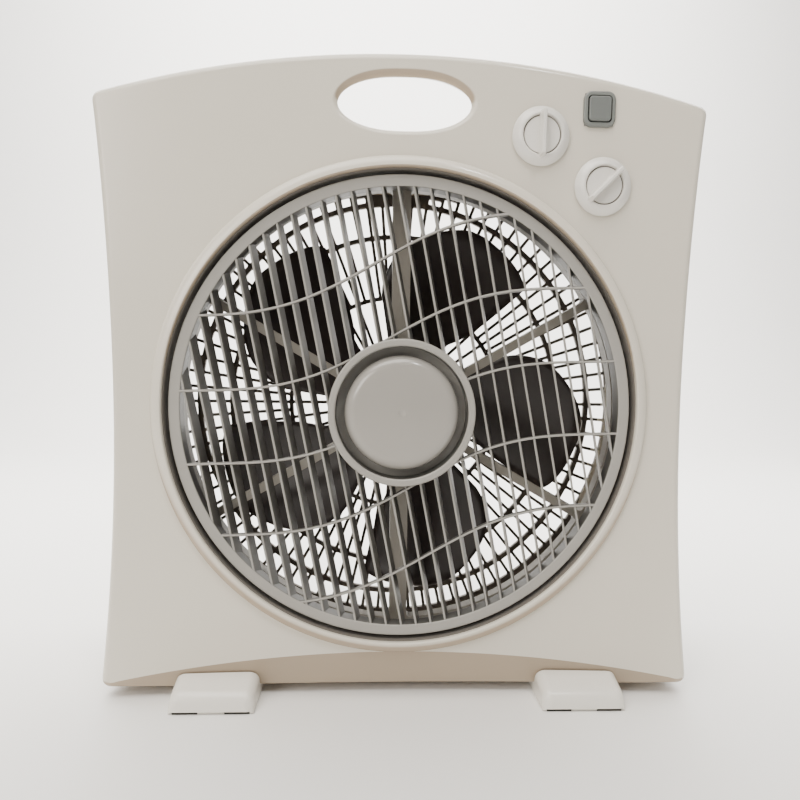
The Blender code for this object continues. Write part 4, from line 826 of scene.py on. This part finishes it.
CAP_GREY = (0.315, 0.30, 0.275)
# The cap's sideways faces take a little painted shade.
cap_grey = moulded("cap_gloss", CAP_GREY, 0.16, 0.02, 0.05, 1300.0, side_shade=0.4, Coat_Weight=0.3)
fit("louver_dome", turned(dome, 96), on_louver, "louver", cap_grey, "cap_grey", "louver_cap", angle=50.0)


# --- Inner guard --------------------------------------------------------------------------
# Six arms in beige-grey plastic that stand between blades and louvre and carry the small
# louvre motor. The two upright arms are wide because they also hide its lead.
spider_low, spider_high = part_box("louver_spider")
GUARD_FRONT = panel_plane - spider_low.y
GUARD_BACK = panel_plane - spider_high.y
GUARD_RING = (spider_high.x - spider_low.x) / 2
GUARD_HUB = 0.029
GUARD_RING_WIDTH = 0.012
WIDE_ARM = 0.0125
ARM = 0.006
LEAD_CHANNEL = (0.007, 0.160, 0.012)
EAR_RADIUS = 0.006
GUARD_SCREW_HOLE = 0.0018


def window(start, end, half_start, half_end):
    """The opening between two arms, from the hub out to the ring."""
    points = []
    for radius, forward in ((GUARD_RING - GUARD_RING_WIDTH, True), (GUARD_HUB, False)):
        low = math.radians(start) + math.asin(half_start / radius)
        high = math.radians(end) - math.asin(half_end / radius)
        turns = [low + (high - low) * k / 24 for k in range(25)]
        for turn in turns if forward else turns[::-1]:
            points.append((radius * math.cos(turn), radius * math.sin(turn)))
    return rounded(points, 0.003, 4)


arms = (30, 90, 150, 210, 270, 330, 390)
outlines = [circle(GUARD_RING, 144)]
for first, second in zip(arms, arms[1:]):
    halves = [WIDE_ARM / 2 if arm % 180 == 90 else ARM / 2 for arm in (first, second)]
    outlines.append(window(first, second, *halves))
ears = [(x, up - axis_up) for x, up in (centre_of(f"spider_screw_{k}") for k in (1, 2, 3, 4))]
drive_screws = [(x, up - axis_up) for x, up in (centre_of(f"louver_motor_screw_{k}") for k in (1, 2))]
bm = bmesh.new()
block(bm, LEAD_CHANNEL, (0.0, GUARD_HUB + 0.072, GUARD_BACK + 0.002))
channel = mesh_of(bm)
guard = worked(
    plate(outlines, GUARD_BACK, GUARD_FRONT),
    ("UNION", bars(ears, EAR_RADIUS, GUARD_BACK + 0.005, GUARD_FRONT - 0.0002)),
    ("DIFFERENCE", bars([(0.0, 0.0)], GUARD_HUB - 0.003, GUARD_BACK - 0.01, GUARD_FRONT - 0.004, 64)),
    ("DIFFERENCE", channel),
    ("DIFFERENCE", bars(ears + drive_screws, GUARD_SCREW_HOLE, -1.0, 1.0, 16)),
)
beige = moulded("guard_beige", (0.34, 0.315, 0.275), 0.36, 0.03, 0.14, 1400.0, 0.35)
fit("guard", guard, on_axis, "case", beige, "guard_beige", "louver_spider", edge=0.0005)


# --- Fan blades ---------------------------------------------------------------------------
# Five broad twisted blades on a cup-shaped hub, one moulding in dark brown polypropylene,
# held on the motor shaft by a left-hand-threaded plastic nut.
blade_low, blade_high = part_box("fan_blade")
BLADE_FRONT = panel_plane - blade_low.y
BLADE_BACK = panel_plane - blade_high.y
BLADES = 5
TIP = 0.141
BLADE_HUB = 0.034
BLADE_WALL = 0.0018
FIRST_BLADE = 63.0
HUB_PITCH = 38.0
PITCH_FALL = 17.0
CAMBER = 0.0022
CUP_EDGE = 0.004
BORE = 0.0043
NUT_RADIUS = 0.012
NUT_RIDGES = 48


def edge_angles(radius):
    """The trailing and leading edges of a blade, in degrees from its tip, both corners rounded."""
    trailing = 36.0 - 14.0 * (max(radius - 0.083, 0.0) / 0.043) ** 1.5
    leading = -20.0 + 9.0 * math.exp(-max(radius - 0.060, 0.0) / 0.014)
    for corner, side in ((0.030, 1), (0.010, -1)):
        past = max(radius - (TIP - corner), 0.0) / corner
        kept = math.sqrt(max(1.0 - past * past, 0.0))
        if side > 0:
            trailing = 2.0 + (trailing - 2.0) * kept
        else:
            leading = 2.0 + (leading - 2.0) * kept
    return trailing, leading


def blade_point(index, along, across):
    """A point on the twisted middle surface of a blade."""
    radius = BLADE_HUB - 0.001 + (TIP - BLADE_HUB + 0.001) * math.sin(math.pi / 2 * along) ** 0.9
    trailing, leading = edge_angles(min(radius, TIP - 0.00002))
    angle = math.radians(FIRST_BLADE + 360.0 / BLADES * index + trailing + (leading - trailing) * across)
    pitch = math.radians(HUB_PITCH - PITCH_FALL * (radius - BLADE_HUB) / (TIP - BLADE_HUB))
    chord = math.radians(trailing - leading) * radius
    rise = chord * math.tan(pitch) * (0.5 - across) * 0.82 + CAMBER * math.sin(math.pi * across)
    limit = (BLADE_FRONT - BLADE_BACK) / 2 - 0.0015
    rise = limit * math.tanh(rise / limit)
    return (radius * math.cos(angle), radius * math.sin(angle), (BLADE_FRONT + BLADE_BACK) / 2 + rise)


bm = bmesh.new()
for index in range(BLADES):
    rows = []
    for i in range(29):
        rows.append([bm.verts.new(blade_point(index, i / 28, j / 16)) for j in range(17)])
    for i in range(28):
        for j in range(16):
            bm.faces.new((rows[i][j], rows[i][j + 1], rows[i + 1][j + 1], rows[i + 1][j]))
bmesh.ops.remove_doubles(bm, verts=bm.verts, dist=5e-5)
bmesh.ops.dissolve_degenerate(bm, edges=bm.edges, dist=1e-5)
dark = moulded("blade_brown", (0.030, 0.022, 0.021), 0.30, 0.12, 0.10, 1200.0, 0.12)
blades = fit("blades", mesh_of(bm), on_axis, "fan", dark, "blade_brown", "fan_blade", angle=60.0)
blades.modifiers.clear()
thick = blades.modifiers.new("thickness", "SOLIDIFY")
thick.thickness = BLADE_WALL
thick.offset = 0.0
web = BLADE_FRONT - 0.0028
cup_inner = BLADE_HUB - BLADE_WALL
cup = [(BORE, BLADE_FRONT), (BLADE_HUB - CUP_EDGE, BLADE_FRONT)]
for k in range(1, 6):
    turn = math.pi / 2 * k / 5
    out = BLADE_FRONT - CUP_EDGE * (1 - math.cos(turn))
    cup.append((BLADE_HUB - CUP_EDGE * (1 - math.sin(turn)), out))
cup += [(BLADE_HUB, BLADE_BACK), (cup_inner, BLADE_BACK), (cup_inner, web - 0.002)]
cup += [(cup_inner - 0.002, web), (0.007, web), (0.007, web - 0.018), (BORE, web - 0.018)]
fit("blade_cup", turned(cup, 72, closed=True), on_axis, "fan", dark, "blade_brown")
nut_back = BLADE_FRONT + 0.0003
bm = bmesh.new()
sections = []
for rise, scale in ((0.0, 1.0), (0.0045, 1.0), (0.0062, 0.90), (0.007, 0.62)):
    ring = []
    for k in range(NUT_RIDGES * 2):
        turn = math.pi * k / NUT_RIDGES
        radius = NUT_RADIUS * (1.0 if k % 2 else 0.95) * scale
        ring.append((radius * math.cos(turn), radius * math.sin(turn), nut_back + rise))
    sections.append(ring)
strand(bm, sections)
fit("blade_nut_knurled", mesh_of(bm), on_axis, "fan", dark, "blade_brown", "blade_nut")


# --- Control knobs ------------------------------------------------------------------------
# Two pointer knobs in white ABS, for speed and for the timer: a low round skirt, a sunk disc
# with a dark ring of painted shade in the groove where skirt and disc meet, and a thin grip that stands
# across it.
KNOB_RADIUS = 0.0185
DISC = 0.0118
SKIRT = 0.0060
DISC_DROP = 0.0014
GROOVE_DEPTH = 0.0028
GRIP_LENGTH = 0.029
GRIP_WIDTH = 0.004
GRIP_TOP = 0.0125
white = moulded("knob_white", (0.725, 0.703, 0.66), 0.17, 0.015, 0.05, 1200.0, 0.06, Coat_Weight=0.25)
# The dark colour of the painted shade in the knob grooves.
shadow = moulded("groove_painted_shade", (0.12, 0.105, 0.09), 0.6, 0.2, 0.3, 2600.0)


def knob_mesh():
    """A skirt with a sunk disc, and the tapered grip across it."""
    disc_top = SKIRT - DISC_DROP
    groove_floor = SKIRT - GROOVE_DEPTH
    profile = [(0.0, disc_top), (DISC - 0.0005, disc_top), (DISC - 0.0002, groove_floor)]
    profile += [(DISC + 0.0003, groove_floor), (DISC + 0.0005, SKIRT - 0.0006), (DISC + 0.0011, SKIRT)]
    for k in range(1, 9):
        share = k / 8
        radius = DISC + 0.0011 + (KNOB_RADIUS - DISC - 0.0014) * share
        profile.append((radius, SKIRT - 0.0038 * share**1.8))
    profile += [(KNOB_RADIUS, SKIRT - 0.0045), (KNOB_RADIUS, 0.0009), (KNOB_RADIUS - 0.0005, 0.0006)]
    underside = SKIRT - 0.0033
    profile += [(KNOB_RADIUS - 0.002, 0.0006), (KNOB_RADIUS - 0.0035, underside), (0.0, underside)]
    bm = bmesh.new()
    bm.from_mesh(turned(profile, 72))
    sections = []
    for out, width, length in (
        (groove_floor, 1.0, 1.0),
        (SKIRT + 0.001, 0.92, 0.985),
        (GRIP_TOP - 0.0014, 0.66, 0.93),
        (GRIP_TOP - 0.0005, 0.56, 0.915),
        (GRIP_TOP, 0.32, 0.89),
    ):
        half_x = GRIP_WIDTH / 2 * width
        half_up = GRIP_LENGTH / 2 * length
        corners = [(half_x, -half_up), (half_x, half_up), (-half_x, half_up), (-half_x, -half_up)]
        sections.append([(x, up, out) for x, up in rounded(corners, half_x * 0.8, 4)])
    strand(bm, sections)
    return mesh_of(bm)


for name, place, turn, body in (("speed", speed_at, 0.0, "speed"), ("timer", timer_at, -45.0, "timer")):
    on_knob = face @ Matrix.Translation((*place, 0.0)) @ Matrix.Rotation(math.radians(turn), 4, "Z")
    fit(f"{name}_pointer", knob_mesh(), on_knob, body, white, "knob_white", f"{name}_knob")
    # A thin dark ring in the groove: painted shade where skirt and disc meet.
    groove = [(DISC - 0.0003, SKIRT - 0.0026), (DISC + 0.0004, SKIRT - 0.0026)]
    groove += [(DISC + 0.0004, SKIRT - 0.0022), (DISC - 0.0003, SKIRT - 0.0022)]
    groove = turned(rounded(groove, 0.0001, 1), 72, closed=True)
    fit(f"{name}_groove", groove, on_knob, body, shadow, "knob_white")


# --- Louvre switch ------------------------------------------------------------------------
# A square push switch in grey plastic that starts and stops the louvre: a flanged frame
# snapped into the panel and a raised pad that latches in it.
FLANGE = (0.0207, 0.022, 0.0052)
FLANGE_FRONT = 0.0024
FLANGE_EDGE = 0.0012
SWITCH_BODY = (0.0181, 0.0194, 0.018)
PAD_OPENING = (0.0158, 0.0168, 0.0028)
PAD = (0.0142, 0.0152, 0.0022)
PAD_FRONT = 0.0036
PAD_EDGE = 0.0008


def round_rim(mesh, height, radius, segments):
    """Rounds the sharp edges that lie at one height."""
    bm = bmesh.new()
    bm.from_mesh(mesh)
    rim = []
    for edge in bm.edges:
        if all(abs(vert.co.z - height) < 1e-6 for vert in edge.verts) and edge.calc_face_angle(0.0) > 0.7:
            rim.append(edge)
    bmesh.ops.bevel(
        bm, geom=rim, offset=radius, offset_type="OFFSET", segments=segments, profile=0.5, affect="EDGES"
    )
    return mesh_of(bm)


def squircle(width, height, corner, count=8):
    """A rectangle with round corners."""
    points = []
    for sign_x, sign_y, start in ((1, 1, 0), (-1, 1, 90), (-1, -1, 180), (1, -1, 270)):
        x = sign_x * (width / 2 - corner)
        y = sign_y * (height / 2 - corner)
        for k in range(count + 1):
            turn = math.radians(start + 90 * k / count)
            points.append((x + corner * math.cos(turn), y + corner * math.sin(turn)))
    return points


on_button = face @ Matrix.Translation((*button_at, 0.0))
flange = round_rim(plate([squircle(*FLANGE)], 0.0003, FLANGE_FRONT), FLANGE_FRONT, FLANGE_EDGE, 4)
bm = bmesh.new()
block(bm, SWITCH_BODY, (0.0, 0.0, 0.0008 - SWITCH_BODY[2] / 2))
frame_mesh = worked(
    flange,
    ("UNION", mesh_of(bm)),
    ("DIFFERENCE", plate([squircle(*PAD_OPENING)], -0.0065, 0.01)),
)
switch_grey = moulded("switch_grey", (0.165, 0.175, 0.165), 0.33, 0.03, 0.15, 1700.0, 0.1)
pad_grey = moulded("pad_grey", (0.145, 0.155, 0.15), 0.28, 0.03, 0.12, 1700.0, 0.1)
fit("switch_frame", frame_mesh, on_button, "case", switch_grey, "button_grey", "louver_switch")
pad = round_rim(plate([squircle(*PAD)], -0.0038, PAD_FRONT), PAD_FRONT, PAD_EDGE, 4)
fit("switch_pad", pad, on_button, "button", pad_grey, "button_grey", "louver_button")


# --- Feet ---------------------------------------------------------------------------------
# Two long white feet across the bottom, each moulded with a step that hooks up in front of
# the case and behind it, screwed on from below and shod with two rubber strips.
FOOT_NOSE = 0.022
FOOT_RISE = 0.0196
FOOT_ROUND = 0.0065
PAD_SLOT = 0.0021
half = (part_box("foot_left")[1].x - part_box("foot_left")[0].x) / 2
crown = 0.65 * FOOT_RISE


def foot_side():
    """A foot seen from the side."""
    front = FOOT_NOSE
    back = -depth - FOOT_NOSE
    points = [(front - 0.0018, 0.0003), (front, 0.0022), (front - 0.0008, crown)]
    points += [(0.0, FOOT_RISE - 0.0010), (-0.012, FOOT_RISE)]
    points += [(-depth + 0.012, FOOT_RISE), (-depth, FOOT_RISE - 0.0010)]
    points += [(back + 0.0008, crown), (back, 0.0022), (back + 0.0018, 0.0003)]
    return points


space = case_block(0.0008, 0.005, -depth - 0.0003, 0.004, -0.0003)
space = worked(space, ("DIFFERENCE", chin(0.0011)))
foot_white = moulded("foot_white", (0.76, 0.733, 0.672), 0.15, 0.02, 0.08, 1200.0, 0.14)
stand = Matrix(((0, 0, 1, 0), (0, 1, 0, 0), (1, 0, 0, 0), (0, 0, 0, 1)))
for side in ("left", "right"):
    x = centre_of(f"foot_{side}")[0]
    bm = bmesh.new()
    bm.from_mesh(plate([foot_side()], -half, half))
    rim = []
    for edge in bm.edges:
        ends = [vert.co for vert in edge.verts]
        flank = all(abs(abs(end.z) - half) < 1e-6 for end in ends) and abs(ends[0].z - ends[1].z) < 1e-6
        nose = abs(ends[0].z - ends[1].z) > 1e-3 and (ends[0].x > 0.005 or ends[0].x < -depth - 0.005)
        high = max(end.y for end in ends) > 0.003
        if (flank or nose) and high:
            rim.append(edge)
    bmesh.ops.bevel(
        bm, geom=rim, offset=FOOT_ROUND, offset_type="OFFSET", segments=5, profile=0.5, affect="EDGES"
    )
    bmesh.ops.transform(bm, verts=bm.verts, matrix=Matrix.Translation((x, 0, 0)) @ stand)
    body = mesh_of(bm)
    bm = bmesh.new()
    for strip in ("inner", "outer"):
        low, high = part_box(f"pad_{side}_{strip}")
        block(bm, (high.x - low.x + 0.0006, 2 * PAD_SLOT, 0.3), ((low.x + high.x) / 2, 0.0, -depth / 2))
    foot = worked(body, ("DIFFERENCE", space), ("DIFFERENCE", mesh_of(bm)))
    fit(f"{side}_foot", foot, face, "case", foot_white, "knob_white", f"foot_{side}", angle=24.0)


# --- Motor, switches, screws and pads -----------------------------------------------------
# Bought-in parts behind the plastics: a shaded-pole motor in pressed and painted shells, a
# geared louvre motor, a rotary switch and a spring timer, zinc-plated screws, rubber strips.
def brushed(name, colour, rough, turns=False):
    """Metal with fine drawn lines and dull patches."""
    finish = Finish(name, metallic=1.0)
    stretch = (40.0, 40.0, 1.0) if turns else (1.0, 30.0, 30.0)
    lines = finish.grain(60.0, 4.0, stretch)
    patches = finish.grain(40.0, 4.0)
    tone = finish.blend(patches, shade(colour, 0.82), shade(colour, 1.08))
    finish.bump(lines, 0.00005, 0.4)
    return finish.done(tone, rough + lines * 0.14 + patches * 0.1)


def wound(name, colour):
    """Enamelled wire in close turns under varnish."""
    finish = Finish(name, metallic=0.8, Coat_Weight=0.5)
    sockets = {"Vector": finish.place, "Scale": 700.0, "Distortion": 1.2, "Detail": 2.0}
    settings = {"wave_type": "RINGS", "rings_direction": "Y"}
    turns = finish.node("ShaderNodeTexWave", settings, sockets, "Fac")
    patches = finish.grain(150.0, 3.0)
    finish.bump(turns, 0.0003, 0.8)
    tone = finish.blend(turns * 0.6 + patches * 0.4, shade(colour, 0.45), shade(colour, 1.1))
    return finish.done(tone, 0.35 + patches * 0.2)


def rubbery(name, colour):
    """Soft black rubber, scuffed paler in patches."""
    finish = Finish(name)
    grit = finish.grain(1100.0, 3.0)
    wear = finish.grain(90.0, 4.0)
    finish.bump(grit, 0.0002, 0.6)
    return finish.done(finish.blend(wear, shade(colour, 0.8), shade(colour, 1.5)), 0.72 + grit * 0.15)


MOTOR_PAINT = (0.16, 0.165, 0.17)
finishes = {
    "steel": brushed("zinc_plated_steel", (0.52, 0.52, 0.53), 0.24),
    "cast_housing": moulded("motor_shell_paint", MOTOR_PAINT, 0.42, 0.08, 0.5, 900.0, 0.3, metallic=0.6),
    "copper_winding": wound("varnished_winding", (0.42, 0.16, 0.07)),
    "bronze": brushed("sintered_bronze", (0.50, 0.34, 0.14), 0.38, True),
    "switch_white": moulded("switch_nylon", (0.56, 0.56, 0.53), 0.42, 0.03, 0.3, 1500.0, 0.2),
    "lead_grey": moulded("lead_vinyl", (0.16, 0.16, 0.16), 0.45, 0.06, 0.2, 1300.0, 0.2),
    "pad_rubber": rubbery("pad_rubber", (0.022, 0.020, 0.018)),
    "panel_ivory": ivory,
    "louver_grey": grey,
    "cap_grey": cap_grey,
    "blade_brown": dark,
    "guard_beige": beige,
    "knob_white": white,
    "button_grey": switch_grey,
}
for part in frame["record"]["subparts"]:
    node = frame["nodes"][part["node"]]
    if not node.hide_render:
        node.data.materials.clear()
        node.data.materials.append(finishes[part["material_slot"]])
        for polygon in node.data.polygons:
            polygon.material_index = 0

bpy.context.view_layer.update()
